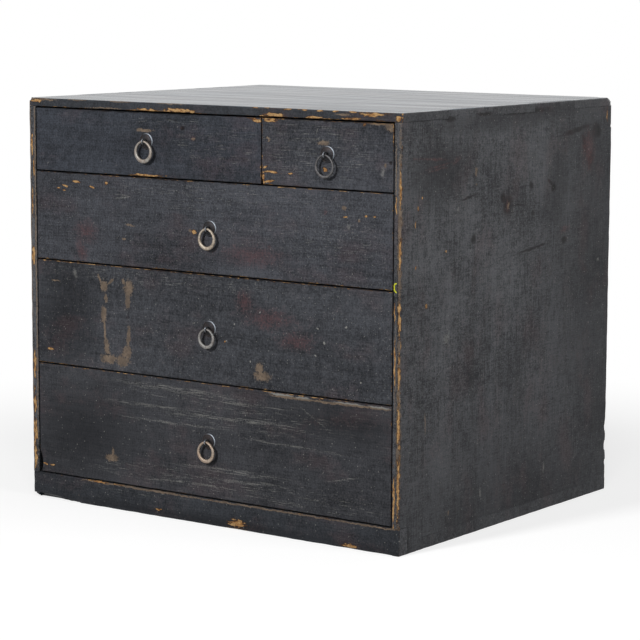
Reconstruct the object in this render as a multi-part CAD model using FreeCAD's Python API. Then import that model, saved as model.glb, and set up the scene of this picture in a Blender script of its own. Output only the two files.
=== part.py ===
"""Small tansu: a lacquered softwood chest with two small drawers over three wide ones, each with an iron ring pull.

Millimetres. X runs along the front to the right, Y to the back and Z up. The origin is the centre of the
case's underside, on the floor.
"""
import FreeCAD, Part

import math
import os
from collections import namedtuple

V = FreeCAD.Vector

# ---------------------------------------------------------------- case
case_width = 424.0
case_depth = 359.0
case_height = 382.0
side_thickness = 8.0
top_thickness = 8.0
top_fingers = 5  # fingers of each top corner joint; the top board holds the first and the last
base_thickness = 11.5
rail_height = 24.5
rail_thickness = 14.0
foot_length = 20.0  # the side boards reach the floor for this length behind the rail
shelf_thickness = 8.0
housing_depth = 3.0  # how far shelves and partition stand in their grooves
partition_thickness = 8.0
back_thickness = 7.0
back_rabbet = 4.0  # width of the rabbet that holds the back boards
back_board_count = 3
back_board_gap = 0.4
runner_width = 12.0
case_edge_radius = 1.2

# ---------------------------------------------------------------- drawer fronts
top_row_height = 58.3
second_row_height = 82.5
third_row_height = 97.9  # the bottom row takes what is left of the case's height
row_gap = 1.2  # between two rows, over the rail and under the top board
side_gap = 1.0  # between a drawer and the board beside it
meeting_gap = 0.8  # between the two drawers of the top row
narrow_front_width = 139.9  # front of the right-hand drawer of the top row
front_thickness = 13.0
front_edge_chamfer = 0.5

# ---------------------------------------------------------------- drawer boxes
lip_thickness = 7.0  # what is left of the front before the sides and the bottom
drawer_side_thickness = 7.0
drawer_back_thickness = 7.0
drawer_bottom_thickness = 5.0
drawer_back_drop = 4.0  # the back is this much lower than the sides
running_clearance = 0.3  # under a drawer, and between a closed front and the shelf behind it
drawer_headroom = 2.0
drawer_end_clearance = 4.0  # behind a closed drawer

# ---------------------------------------------------------------- pegs
case_peg_radius = 1.3
case_peg_length = 22.0
drawer_peg_radius = 1.0
drawer_peg_length = 15.0
peg_fit = 0.05
peg_end_room = 0.2  # a peg hole is this much deeper than its peg
peg_sink = 0.8  # each peg's head is punched this far below the face

# The outermost pegs of a row stand this far in from the ends of the joint that they pin.
shelf_peg_inset = 40.0
foot_peg_inset = 30.0
runner_peg_inset = 45.0
rail_peg_inset = 60.0
partition_peg_inset = 50.0
drawer_rim_peg_inset = 12.0
drawer_bottom_peg_inset = 40.0

# ---------------------------------------------------------------- pulls
rosette_radius = 7.5
rosette_height = 1.5
rosette_thickness = 0.7
pin_wire_radius = 0.65
pin_leg_spacing = 1.4
pin_hole_fit = 0.15
eye_hole_radius = 1.5
eye_reach = 4.4  # from the front's face to the middle of the eye
eye_neck_radius = 0.8
clinch_radius = 1.0
clinch_length = 7.0
clinch_gap = 0.1
ring_play = 0.15  # between a hanging ring and the eye
ring_edge_share = 0.45  # the ring's edges are rounded by this share of its thinner side

Ring = namedtuple("Ring", "width height top_radius top_bar bottom_bar depth")
wide_ring = Ring(width=20.8, height=21.0, top_radius=7.8, top_bar=2.2, bottom_bar=3.8, depth=2.5)
light_ring = Ring(width=20.0, height=21.0, top_radius=8.4, top_bar=1.6, bottom_bar=2.6, depth=2.0)
plain_ring = Ring(width=19.6, height=20.4, top_radius=7.2, top_bar=2.1, bottom_bar=3.6, depth=2.5)
small_ring = Ring(width=18.6, height=18.9, top_radius=7.8, top_bar=2.1, bottom_bar=3.4, depth=2.5)

# Each pull was set by eye, so it stands off the middle of its front by these amounts.
PullOffset = namedtuple("PullOffset", "x z")
top_left_pull = PullOffset(x=1.8, z=3.0)
top_right_pull = PullOffset(x=1.2, z=0.2)
second_pull = PullOffset(x=4.7, z=-0.5)
third_pull = PullOffset(x=4.0, z=0.1)
bottom_pull = PullOffset(x=3.1, z=-0.6)

# ---------------------------------------------------------------- worked out from the sizes above
upper_rows = [third_row_height, second_row_height, top_row_height]
row_gap_count = len(upper_rows) + 2  # one under each row, and one over the top row
room_for_rows = case_height - top_thickness - rail_height - row_gap * row_gap_count
row_heights = [room_for_rows - sum(upper_rows)] + upper_rows

x_side = case_width / 2  # outer face of the right-hand side board
x_inner = x_side - side_thickness
y_face = -case_depth / 2
y_rear = case_depth / 2
y_back_inner = y_rear - back_thickness
y_front_inner = y_face + front_thickness
y_lip = y_face + lip_thickness
y_shelf_front = y_front_inner + running_clearance
y_rail_back = y_face + rail_thickness
y_rail_pegs = y_face + rail_thickness / 3
y_foot_back = y_rail_back + foot_length
y_drawer_end = y_back_inner - drawer_end_clearance
y_eye = y_face - eye_reach
z_ceiling = case_height - top_thickness
x_meeting = x_inner - side_gap - narrow_front_width - meeting_gap / 2

Row = namedtuple("Row", "bottom top floor ceiling")


def drawer_rows():
    """The rows from the bottom up: the fronts' lower and upper edges, and the bay's floor and ceiling."""
    rows = []
    level = rail_height
    for height in row_heights:
        bottom = level + row_gap
        top = bottom + height
        floor = level + row_gap / 2 + shelf_thickness / 2
        ceiling = top + row_gap / 2 - shelf_thickness / 2
        rows.append(Row(bottom, top, floor, ceiling))
        level = top
    rows[-1] = rows[-1]._replace(ceiling=z_ceiling)
    return rows


bottom_row, third_row, second_row, top_row = drawer_rows()


def board(x, y, z):
    """A box from three (low, high) pairs."""
    return Part.makeBox(x[1] - x[0], y[1] - y[0], z[1] - z[0], V(x[0], y[0], z[0]))


def stations(low, high, count, inset):
    """Evenly spaced places between two ends, the outermost ones inset from them."""
    first, last = low + inset, high - inset
    if count == 1:
        return [(low + high) / 2]
    return [first + (last - first) * i / (count - 1) for i in range(count)]


class Pegs:
    """Round wooden pegs, and the holes that they need in the boards they pin."""

    def __init__(self, radius, length):
        self.radius = radius
        self.length = length
        self.places = []

    def add(self, head, direction, sink=peg_sink):
        """head is on the face the peg is driven from, and direction points into the wood."""
        self.places.append((V(*head), V(*direction), sink))

    def solids(self):
        return [
            Part.makeCylinder(self.radius, self.length, head + direction * sink, direction)
            for head, direction, sink in self.places
        ]

    def drill(self, wood):
        """The board with a hole for every peg that reaches it."""
        for head, direction, sink in self.places:
            hole = Part.makeCylinder(
                self.radius + peg_fit, sink + self.length + peg_end_room, head, direction
            )
            if wood.BoundBox.intersect(hole.BoundBox):
                wood = wood.cut(hole)
        return wood


# ---------------------------------------------------------------- case boards
def case_outline():
    """The whole case as one block with its outer edges rounded over, which trims every outer board."""
    block = board((-x_side, x_side), (y_face, y_rear), (0, case_height))
    return block.makeFillet(case_edge_radius, block.Edges)


def finger_spans():
    """(start, end, belongs to the top board) of each finger, from front to back."""
    pitch = case_depth / top_fingers
    return [
        (y_face + i * pitch, y_face + (i + 1) * pitch, i % 2 == 0) for i in range(top_fingers)
    ]


def shelf_rows():
    """The rows that have a shelf under them, from the top down."""
    return {"shelf_upper": top_row, "shelf_middle": second_row, "shelf_lower": third_row}


def make_top_board():
    top = board((-x_side, x_side), (y_face, y_rear), (z_ceiling, case_height))
    for start, end, is_top in finger_spans():
        if not is_top:
            for side in (-1, 1):
                low, high = sorted((side * x_inner, side * x_side))
                top = top.cut(board((low, high), (start, end), (z_ceiling, case_height)))
    return top.cut(partition_groove(z_ceiling, z_ceiling + housing_depth))


def partition_groove(low, high):
    half = partition_thickness / 2
    return board((x_meeting - half, x_meeting + half), (y_shelf_front, y_back_inner), (low, high))


def make_side_board(side):
    """side is -1 for the left board and 1 for the right one."""

    def across(inner, outer):
        return tuple(sorted((side * inner, side * outer)))

    wood = board(across(x_inner, x_side), (y_face, y_rear), (base_thickness, z_ceiling))
    foot = board(across(x_inner, x_side), (y_rail_back, y_foot_back), (0, base_thickness))
    wood = wood.fuse(foot)
    for start, end, is_top in finger_spans():
        if not is_top:
            wood = wood.fuse(
                board(across(x_inner, x_side), (start, end), (z_ceiling, case_height))
            )
    wood = wood.cut(board(across(x_inner, x_side), (y_face, y_rail_back), (0, rail_height)))
    for row in shelf_rows().values():
        groove = board(
            across(x_inner, x_inner + housing_depth),
            (y_shelf_front, y_back_inner),
            (row.floor - shelf_thickness, row.floor),
        )
        wood = wood.cut(groove)
    rabbet = board(
        across(x_inner, x_inner + back_rabbet), (y_back_inner, y_rear), (base_thickness, z_ceiling)
    )
    return wood.cut(rabbet).removeSplitter()


def make_base_board():
    base = board((-x_side, x_side), (y_rail_back, y_rear), (0, base_thickness))
    for side in (-1, 1):
        low, high = sorted((side * x_inner, side * x_side))
        base = base.cut(board((low, high), (y_rail_back, y_foot_back), (0, base_thickness)))
    return base


def make_front_rail():
    return board((-x_side, x_side), (y_face, y_rail_back), (0, rail_height))


def make_shelf(row):
    reach = x_inner + housing_depth
    return board(
        (-reach, reach), (y_shelf_front, y_back_inner), (row.floor - shelf_thickness, row.floor)
    )


def make_partition():
    half = partition_thickness / 2
    return board(
        (x_meeting - half, x_meeting + half),
        (y_shelf_front, y_back_inner),
        (top_row.floor - housing_depth, z_ceiling + housing_depth),
    )


def make_runners():
    """Two strips on the base board that carry the bottom drawer."""
    start = max(y_rail_back, y_shelf_front)
    level = (base_thickness, bottom_row.floor)
    return [
        board((-x_inner, -x_inner + runner_width), (start, y_back_inner), level),
        board((x_inner - runner_width, x_inner), (start, y_back_inner), level),
    ]


def back_board_spans():
    """(bottom, top) of each back board, from the lowest up."""
    room = z_ceiling - base_thickness - back_board_gap * (back_board_count + 1)
    height = room / back_board_count
    pitch = height + back_board_gap
    start = base_thickness + back_board_gap
    return [(start + i * pitch, start + i * pitch + height) for i in range(back_board_count)]


def make_back_board(span):
    reach = x_inner + back_rabbet - running_clearance / 2
    return board((-reach, reach), (y_back_inner, y_rear), span)


def case_peg_places():
    """The pegs of the case, all but those of the back boards."""
    pegs = Pegs(case_peg_radius, case_peg_length)
    edge_x = x_side - side_thickness / 2
    for side in (-1, 1):
        for row in shelf_rows().values():
            for y in stations(y_shelf_front, y_back_inner, 3, shelf_peg_inset):
                pegs.add((side * x_side, y, row.floor - shelf_thickness / 2), (-side, 0, 0))
        for start, end, is_top in finger_spans():
            if is_top:
                pegs.add((side * edge_x, (start + end) / 2, case_height), (0, 0, -1))
        for y in stations(y_foot_back, y_rear, 3, foot_peg_inset):
            pegs.add((side * edge_x, y, 0), (0, 0, 1))
        for y in stations(y_rail_back, y_back_inner, 3, runner_peg_inset):
            pegs.add((side * (x_inner - runner_width / 2), y, bottom_row.floor), (0, 0, -1))
        pegs.add((side * edge_x, y_rail_pegs, rail_height / 2), (0, 1, 0), 0.0)
    for x in stations(-x_inner, x_inner, 3, rail_peg_inset):
        pegs.add((x, y_rail_pegs, base_thickness / 2), (0, 1, 0), 0.0)
    for y in stations(y_shelf_front, y_back_inner, 3, partition_peg_inset):
        pegs.add((x_meeting, y, case_height), (0, 0, -1))
    return pegs


def back_peg_places():
    """Two pegs through each end of each back board, into the side boards."""
    pegs = Pegs(case_peg_radius, case_peg_length)
    for low, high in back_board_spans():
        for z in stations(low, high, 2, (high - low) / 4):
            for side in (-1, 1):
                pegs.add((side * (x_inner + back_rabbet / 2), y_rear, z), (0, -1, 0))
    return pegs


def make_case():
    """Every node of the case, by name."""
    outline = case_outline()
    pegs = case_peg_places()
    back_pegs = back_peg_places()
    nodes = {
        "top_board": make_top_board(),
        "left_side_board": make_side_board(-1),
        "right_side_board": make_side_board(1),
        "base_board": make_base_board(),
        "front_rail": make_front_rail(),
    }
    for name, span in zip(("lower", "middle", "upper"), back_board_spans()):
        nodes["back_board_" + name] = make_back_board(span)
    nodes = {name: shape.common(outline) for name, shape in nodes.items()}
    for name, row in shelf_rows().items():
        nodes[name] = make_shelf(row)
    nodes["shelf_upper"] = nodes["shelf_upper"].cut(
        partition_groove(top_row.floor - housing_depth, top_row.floor)
    )
    nodes["top_partition"] = make_partition()
    drilled = {name: back_pegs.drill(pegs.drill(shape)) for name, shape in nodes.items()}
    drilled["bottom_runners"] = Part.makeCompound([pegs.drill(strip) for strip in make_runners()])
    drilled["case_pegs"] = Part.makeCompound(pegs.solids())
    drilled["back_pegs"] = Part.makeCompound(back_pegs.solids())
    return drilled


# ---------------------------------------------------------------- drawers
Drawer = namedtuple("Drawer", "name row front_x box_x pull ring peg_rows")


def drawer_list():
    """The five drawers: the ends of each front, and of the box behind it."""
    left, right = -x_inner + side_gap, x_inner - side_gap
    beside = partition_thickness / 2 + side_gap
    full = (left, right)
    left_front = (left, x_meeting - meeting_gap / 2)
    right_front = (x_meeting + meeting_gap / 2, right)
    return [
        Drawer("top_left_drawer", top_row, left_front, (left, x_meeting - beside),
               top_left_pull, wide_ring, 2),
        Drawer("top_right_drawer", top_row, right_front, (x_meeting + beside, right),
               top_right_pull, light_ring, 2),
        Drawer("second_drawer", second_row, full, full, second_pull, plain_ring, 2),
        Drawer("third_drawer", third_row, full, full, third_pull, small_ring, 3),
        Drawer("bottom_drawer", bottom_row, full, full, bottom_pull, plain_ring, 3),
    ]


def pull_place(drawer):
    """(x, z) of the middle of the drawer's eye."""
    x = sum(drawer.front_x) / 2 + drawer.pull.x
    z = (drawer.row.bottom + drawer.row.top) / 2 + drawer.pull.z
    return x, z


def box_levels(drawer):
    """The underside of the drawer's bottom, its upper side, and the top edge of the sides."""
    underside = drawer.row.floor + running_clearance
    return underside, underside + drawer_bottom_thickness, drawer.row.ceiling - drawer_headroom


def side_spans(drawer):
    """The (low, high) X spans of the left and the right side."""
    left, right = drawer.box_x
    return (left, left + drawer_side_thickness), (right - drawer_side_thickness, right)


def make_drawer_front(drawer):
    """The front, with housings for the sides, a groove for the bottom and a hole for the pin."""
    underside, inside, rim = box_levels(drawer)
    front = board(drawer.front_x, (y_face, y_front_inner), (drawer.row.bottom, drawer.row.top))
    face_edges = [e for e in front.Edges if e.BoundBox.YMax < y_face + front_thickness / 2]
    front = front.makeChamfer(front_edge_chamfer, face_edges)
    for span in side_spans(drawer):
        front = front.cut(board(span, (y_lip, y_front_inner), (inside, rim)))
    front = front.cut(board(drawer.box_x, (y_lip, y_front_inner), (underside, inside)))
    x, z = pull_place(drawer)
    hole = Part.makeCylinder(pin_hole_radius(), front_thickness, V(x, y_face, z), V(0, 1, 0))
    return front.cut(hole)


def drawer_peg_places(drawer):
    pegs = Pegs(drawer_peg_radius, drawer_peg_length)
    underside, inside, rim = box_levels(drawer)
    back_top = rim - drawer_back_drop
    y_housing = (y_lip + y_front_inner) / 2
    y_back_middle = y_drawer_end - drawer_back_thickness / 2
    for end, box_end, inward in zip(drawer.front_x, drawer.box_x, (1, -1)):
        for z in stations(inside, back_top, drawer.peg_rows, drawer_rim_peg_inset):
            pegs.add((end, y_housing, z), (inward, 0, 0))
            pegs.add((box_end, y_back_middle, z), (inward, 0, 0))
        x = box_end + inward * drawer_side_thickness / 2
        for y in stations(y_front_inner, y_drawer_end, 3, drawer_bottom_peg_inset):
            pegs.add((x, y, underside), (0, 0, 1))
    for x in stations(*drawer.box_x, 2, (drawer.box_x[1] - drawer.box_x[0]) / 4):
        pegs.add((x, y_back_middle, underside), (0, 0, 1))
    return pegs


def make_drawer_boards(drawer):
    """The front, two sides, back and bottom of a drawer, by the last part of their names."""
    underside, inside, rim = box_levels(drawer)
    left, right = side_spans(drawer)
    length = (y_lip, y_drawer_end)
    between = (left[1], right[0])
    back = (y_drawer_end - drawer_back_thickness, y_drawer_end)
    return {
        "front": make_drawer_front(drawer),
        "left_side": board(left, length, (inside, rim)),
        "right_side": board(right, length, (inside, rim)),
        "back": board(between, back, (inside, rim - drawer_back_drop)),
        "bottom": board(drawer.box_x, length, (underside, inside)),
    }


# ---------------------------------------------------------------- pulls
def pin_hole_radius():
    return pin_leg_spacing / 2 + pin_wire_radius + pin_hole_fit


def make_rosette(x, z):
    """A shallow dome with a hole for the pin, its rim flat on the drawer's front."""
    hole = pin_hole_radius()

    def cap_radius(reach, rise):
        return (reach * reach + rise * rise) / (2 * rise)

    def on_cap(radius, rise, out):
        """Height of a cap over the front at this distance from its middle."""
        return rise - radius + math.sqrt(radius * radius - out * out)

    outer = cap_radius(rosette_radius, rosette_height)
    inner_reach = rosette_radius - rosette_thickness
    inner_rise = rosette_height - rosette_thickness
    inner = cap_radius(inner_reach, inner_rise)

    def point(out, height):
        return V(x + out, y_face - height, z)

    middle_out = (hole + rosette_radius) / 2
    middle_in = (hole + inner_reach) / 2
    outline = Part.Wire([
        Part.Arc(
            point(rosette_radius, 0),
            point(middle_out, on_cap(outer, rosette_height, middle_out)),
            point(hole, on_cap(outer, rosette_height, hole)),
        ).toShape(),
        Part.LineSegment(
            point(hole, on_cap(outer, rosette_height, hole)),
            point(hole, on_cap(inner, inner_rise, hole)),
        ).toShape(),
        Part.Arc(
            point(hole, on_cap(inner, inner_rise, hole)),
            point(middle_in, on_cap(inner, inner_rise, middle_in)),
            point(inner_reach, 0),
        ).toShape(),
        Part.LineSegment(point(inner_reach, 0), point(rosette_radius, 0)).toShape(),
    ])
    return Part.Face(outline).revolve(V(x, y_face, z), V(0, 1, 0), 360)


def make_eye_pin(x, z):
    """A wire bent to an eye, its two legs through the front and clinched up and down behind it."""
    half = pin_leg_spacing / 2
    loop = eye_hole_radius + pin_wire_radius
    neck_z = half + eye_neck_radius
    neck_y = y_eye + math.sqrt((loop + eye_neck_radius) ** 2 - neck_z**2)
    y_clinch = y_front_inner + pin_wire_radius + clinch_gap
    y_turn = y_clinch - clinch_radius
    share = loop / (loop + eye_neck_radius)

    def half_path(sign):
        """The edges of one leg, from the middle of the loop to the clinched end."""

        def at(y, height):
            return V(x, y, z + sign * height)

        meet_y = y_eye + share * (neck_y - y_eye)
        meet_z = share * neck_z
        loop_angle = math.atan2(meet_z, meet_y - y_eye)
        half_angle = (math.pi + loop_angle) / 2
        loop_middle = at(y_eye + loop * math.cos(half_angle), loop * math.sin(half_angle))
        neck_angle = (math.pi / 2 + math.atan2(neck_z - meet_z, neck_y - meet_y)) / 2
        neck_middle = at(
            neck_y - eye_neck_radius * math.cos(neck_angle),
            neck_z - eye_neck_radius * math.sin(neck_angle),
        )
        turn = clinch_radius * math.sqrt(0.5)
        turn_z = half + clinch_radius
        return [
            Part.Arc(at(y_eye - loop, 0), loop_middle, at(meet_y, meet_z)).toShape(),
            Part.Arc(at(meet_y, meet_z), neck_middle, at(neck_y, half)).toShape(),
            Part.LineSegment(at(neck_y, half), at(y_turn, half)).toShape(),
            Part.Arc(at(y_turn, half), at(y_turn + turn, turn_z - turn), at(y_clinch, turn_z)).toShape(),
            Part.LineSegment(at(y_clinch, turn_z), at(y_clinch, turn_z + clinch_length)).toShape(),
        ]

    path = Part.Wire(Part.__sortEdges__(half_path(-1) + half_path(1)))
    start = V(x, y_clinch, z - half - clinch_radius - clinch_length)
    profile = Part.Wire(Part.makeCircle(pin_wire_radius, start, V(0, 0, 1)))
    return path.makePipeShell([profile], True, False)


def egg(width, height, top_radius, x, y, bottom):
    """A closed outline in the XZ plane: a half circle below, drawn in to a smaller arc at the top.

    It is taller than it is wide.
    """
    half = width / 2
    middle = bottom + half
    rise = height - half - top_radius
    flank = (half**2 + rise**2 - top_radius**2) / (2 * (half - top_radius))
    reach = flank - half
    angle = math.atan2(rise, reach)
    meet_x = top_radius * math.cos(angle)
    meet_z = rise + top_radius * math.sin(angle)
    flank_x = flank * math.cos(angle / 2) - reach
    flank_z = flank * math.sin(angle / 2)

    def at(out, up):
        return V(x + out, y, middle + up)

    return Part.Wire([
        Part.Arc(at(-half, 0), at(0, -half), at(half, 0)).toShape(),
        Part.Arc(at(half, 0), at(flank_x, flank_z), at(meet_x, meet_z)).toShape(),
        Part.Arc(at(meet_x, meet_z), at(0, rise + top_radius), at(-meet_x, meet_z)).toShape(),
        Part.Arc(at(-meet_x, meet_z), at(-flank_x, flank_z), at(-half, 0)).toShape(),
    ])


def make_ring(ring, x, z):
    """A forged ring that hangs in the eye, thin where it passes through and heavier below."""
    hang = eye_hole_radius - max(ring.top_bar, ring.depth) / 2 - ring_play
    top = z - hang + ring.top_bar / 2
    y = y_eye - ring.depth / 2
    side_bar = (ring.top_bar + ring.bottom_bar) / 2
    bottom = top - ring.height
    outer = egg(ring.width, ring.height, ring.top_radius, x, y, bottom)
    inner = egg(
        ring.width - 2 * side_bar,
        ring.height - ring.top_bar - ring.bottom_bar,
        ring.top_radius - ring.top_bar,
        x,
        y,
        bottom + ring.bottom_bar,
    )
    through = V(0, ring.depth, 0)
    bar = Part.Face(outer).extrude(through).cut(Part.Face(inner).extrude(through))
    rim_edges = [e for e in bar.Edges if e.BoundBox.YLength < ring.depth / 2]
    return bar.makeFillet(ring_edge_share * min(ring.top_bar, ring.depth), rim_edges)


def make_drawer(drawer):
    """Every node of one drawer, by name."""
    pegs = drawer_peg_places(drawer)
    x, z = pull_place(drawer)
    nodes = {part: pegs.drill(shape) for part, shape in make_drawer_boards(drawer).items()}
    nodes["pegs"] = Part.makeCompound(pegs.solids())
    nodes["rosette"] = make_rosette(x, z)
    nodes["eye_pin"] = make_eye_pin(x, z)
    nodes["ring"] = make_ring(drawer.ring, x, z)
    return {drawer.name + "_" + part: shape for part, shape in nodes.items()}


def make_chest():
    nodes = make_case()
    for drawer in drawer_list():
        nodes.update(make_drawer(drawer))
    return nodes


os.makedirs("parts", exist_ok=True)
for node, shape in make_chest().items():
    if not shape.isValid() or any(solid.Volume <= 0 for solid in shape.Solids):
        raise ValueError(node + " is not a sound solid")
    shape.exportStep("parts/" + node + ".step")
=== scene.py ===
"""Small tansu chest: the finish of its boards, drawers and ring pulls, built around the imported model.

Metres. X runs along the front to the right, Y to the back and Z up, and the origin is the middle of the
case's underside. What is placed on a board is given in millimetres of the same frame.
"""
import math
from collections import namedtuple

import bpy
import numpy as np
from bpy.props import FloatProperty, FloatVectorProperty, IntProperty, PointerProperty
from mathutils import Matrix, Vector, noise


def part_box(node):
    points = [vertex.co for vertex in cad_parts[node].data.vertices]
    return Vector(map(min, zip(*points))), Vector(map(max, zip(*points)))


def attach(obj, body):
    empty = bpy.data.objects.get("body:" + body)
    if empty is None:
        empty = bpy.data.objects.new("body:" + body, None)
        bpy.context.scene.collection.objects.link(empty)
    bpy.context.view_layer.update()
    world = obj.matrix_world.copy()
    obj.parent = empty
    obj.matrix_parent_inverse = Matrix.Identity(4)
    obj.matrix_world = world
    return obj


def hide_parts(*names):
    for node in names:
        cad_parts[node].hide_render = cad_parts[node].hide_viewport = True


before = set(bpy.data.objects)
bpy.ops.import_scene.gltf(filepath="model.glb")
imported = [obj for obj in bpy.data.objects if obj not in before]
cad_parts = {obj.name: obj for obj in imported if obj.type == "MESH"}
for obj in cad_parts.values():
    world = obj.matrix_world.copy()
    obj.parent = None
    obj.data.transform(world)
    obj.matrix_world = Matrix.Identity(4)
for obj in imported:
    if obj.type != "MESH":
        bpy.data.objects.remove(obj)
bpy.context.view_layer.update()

bl_info = {
    "name": "Small Tansu Chest",
    "version": (1, 0, 0),
    "blender": (4, 5, 0),
    "location": "View3D > Sidebar > Tansu",
    "description": "Worn lacquered boards, plain drawer boxes and forged ring pulls of a small tansu chest",
    "category": "Object",
}

MM = 0.001
DRAWERS = ("top_left", "top_right", "second", "third", "bottom")
TOP_FINGERS = 5  # fingers of each top corner joint; the top board holds the first and the last
FOOT_LENGTH = 20 * MM  # the side boards reach the floor for this length behind the rail


def seen(red, green, blue):
    """A colour as the eye reads it, 0 to 255 a channel, in the linear values that a shader takes."""
    return tuple(
        c / 12.92 if c <= 0.04045 else ((c + 0.055) / 1.055) ** 2.4
        for c in (red / 255, green / 255, blue / 255)
    )


# ---------------------------------------------------------------- what a user may change
def colour(name, description, default):
    return FloatVectorProperty(
        name=name, description=description, subtype="COLOR", size=3, min=0, max=1, default=default
    )


def length(name, description, default):
    return FloatProperty(
        name=name, description=description, subtype="DISTANCE", unit="LENGTH", min=0, default=default
    )


def share(name, description, default):
    return FloatProperty(
        name=name, description=description, subtype="FACTOR", min=0, max=1, default=default
    )


def angle(name, description, degrees):
    return FloatProperty(
        name=name, description=description, subtype="ANGLE", unit="ROTATION", default=math.radians(degrees)
    )


def power(name, description, default):
    return FloatProperty(name=name, description=description, min=0, default=default)


class TansuColours(bpy.types.PropertyGroup):
    """Colours of the lacquer, of what shows through it, and of the bare pieces."""

    lacquer: colour("Lacquer", "Black lacquer where it is sound", seen(26, 27, 30))
    faded: colour("Faded lacquer", "Lacquer that has gone grey", seen(62, 65, 70))
    side_faded: colour("Faded side", "Grey lacquer of the side boards", seen(91, 92, 95))
    # the top's faded grey, whose blue is a painted reflection
    top_faded_and_reflection: colour("Faded top", "Blue-grey lacquer of the top's upper face", seen(50, 70, 85))
    reddish: colour("Reddish lacquer", "Where the red undercoat shows", seen(82, 54, 55))
    undercoat: colour("Undercoat", "Dark brown rim round bare wood", seen(62, 42, 30))
    wood: colour("Bare wood", "Wood that has been rubbed bare", seen(146, 104, 62))
    wood_pale: colour("Pale bare wood", "Freshly rubbed grain of the bare wood", seen(176, 142, 98))
    residue: colour("Residue", "Beige remains of old labels", seen(132, 115, 98))
    scuff: colour("Scuffs", "Light scratches and dust", seen(150, 149, 144))
    paint: colour("Paint", "A speck of paint on the right side board", seen(190, 190, 50))
    softwood: colour("Softwood", "Plain boards inside", seen(171, 138, 99))
    softwood_late: colour("Softwood grain", "Dark lines of the plain boards", seen(122, 90, 58))
    peg: colour("Pegs", "Wooden pegs", seen(140, 104, 66))
    rust: colour("Rust", "Brown patina of the iron", seen(122, 84, 54))
    floor: colour("Floor", "Plain floor under the chest", (0.42, 0.42, 0.42))


class TansuWear(bpy.types.PropertyGroup):
    """How far the boards are worn."""

    spacing: length("Spacing", "Distance between a board's lattice lines", 5 * MM)
    hollow: length("Hollow", "Deepest hollow of a board's hand-planed face", 0.22 * MM)
    uneven: share("Uneven edges", "How much the rounding of an edge varies", 0.55)
    seed: IntProperty(name="Seed", description="Changes every random shape", default=3, min=0)


class TansuStage(bpy.types.PropertyGroup):
    """Camera and light."""

    azimuth: angle("Azimuth", "Camera's turn round the chest, from its front to the right", 35.88)
    elevation: angle("Elevation", "Camera's height above the horizon", 7.96)
    roll: angle("Roll", "Camera's turn about its own line of sight", 0.22)
    distance: length("Distance", "From the camera to the point it looks at", 2.365)
    aim_across: FloatProperty(
        name="Aim across", description="How far the camera looks past the chest's middle, to the right",
        subtype="DISTANCE", unit="LENGTH", default=-0.0023,
    )
    aim_height: length("Aim height", "Height that the camera looks at", 0.1686)
    lens: FloatProperty(
        name="Lens", description="Focal length on a sensor 36 mm wide", subtype="DISTANCE_CAMERA",
        unit="CAMERA", min=1, default=138.44,
    )
    surroundings: power("Surroundings", "Strength of the light from all round", 0.1)
    key: power("Key", "Power of the lamp at the front", 39)
    fill: power("Fill", "Power of the lamp at the right", 35)
    glint: power("Glint", "Power of the small lamp above", 4)
    back: power("Back", "Power of the lamp behind the chest", 12)


# ---------------------------------------------------------------- boards
Edge = namedtuple("Edge", "radius worn stretches", defaults=((),))
"""An edge's rounding in mm, how far it is rubbed bare from 0 to 1, and its stretches that differ."""

Stretch = namedtuple("Stretch", "start end worn radius", defaults=(None,))
"""A stretch of an edge, from start to end in mm, with its own wear and, where one is given, rounding."""

Scoop = namedtuple("Scoop", "at reach")
"""A place where wood has broken away: an ellipsoid's middle and its half axes, in mm."""

FACES = {"front": (1, 0), "back": (1, 1), "left": (0, 0), "right": (0, 1), "bottom": (2, 0), "top": (2, 1)}
EDGE_STEPS = (0.0, 0.35, 0.75, 1.3, 2.2, 3.6)  # lattice lines beside an edge, in mm from it
SCOOP_STEPS = (-0.9, -0.6, -0.3, 0, 0.3, 0.6, 0.9)  # lattice lines across a scoop, in its half axes
OUTER = Edge(radius=1.2, worn=0.3)
SEAM = Edge(radius=0.3, worn=0.0)


def box_edges():
    """The twelve edges of a box: name, the axis they run along, and their two faces."""
    names = list(FACES)
    for i, first in enumerate(names):
        for second in names[i + 1:]:
            (axis, _), (other, _) = FACES[first], FACES[second]
            if axis != other:
                yield first + "_" + second, 3 - axis - other, FACES[first], FACES[second]


def ripple(points, size, seed):
    """Smooth noise from -1 to 1 at each point, whose features are of this size."""
    shift = Vector((17.3, 5.1, 9.7)) * (seed + 1)
    return np.array([noise.noise(Vector(p) / size + shift) for p in points])


def lattice_lines(low, high, spacing, stops):
    """Coordinates from one end to the other: close together at the ends, and one at each stop."""
    near = [low + step * MM for step in EDGE_STEPS] + [high - step * MM for step in EDGE_STEPS]
    middle = np.linspace(low, high, max(2, int(round((high - low) / spacing)) + 1))
    stops = [s for s in stops if low < s < high]
    kept = [x for x in near + stops if low <= x <= high]
    fixed = np.array([low, high] + stops)
    closest = EDGE_STEPS[1] * MM * 0.6
    for x in middle:
        if min(abs(x - y) for y in kept) > spacing * 0.4:
            kept.append(x)
    loose = [x for x in kept if min(abs(fixed - x)) > closest]
    return np.array(sorted(set(list(fixed) + loose)))


def cells(lines, holes):
    """Which cells of the lattice are wood: all but those inside a hole."""
    wood = np.ones([len(axis) - 1 for axis in lines], bool)
    middles = [(axis[1:] + axis[:-1]) / 2 for axis in lines]
    for low, high in holes:
        wood[np.ix_(*[(m > a) & (m < b) for m, a, b in zip(middles, low, high)])] = False
    return wood


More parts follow.
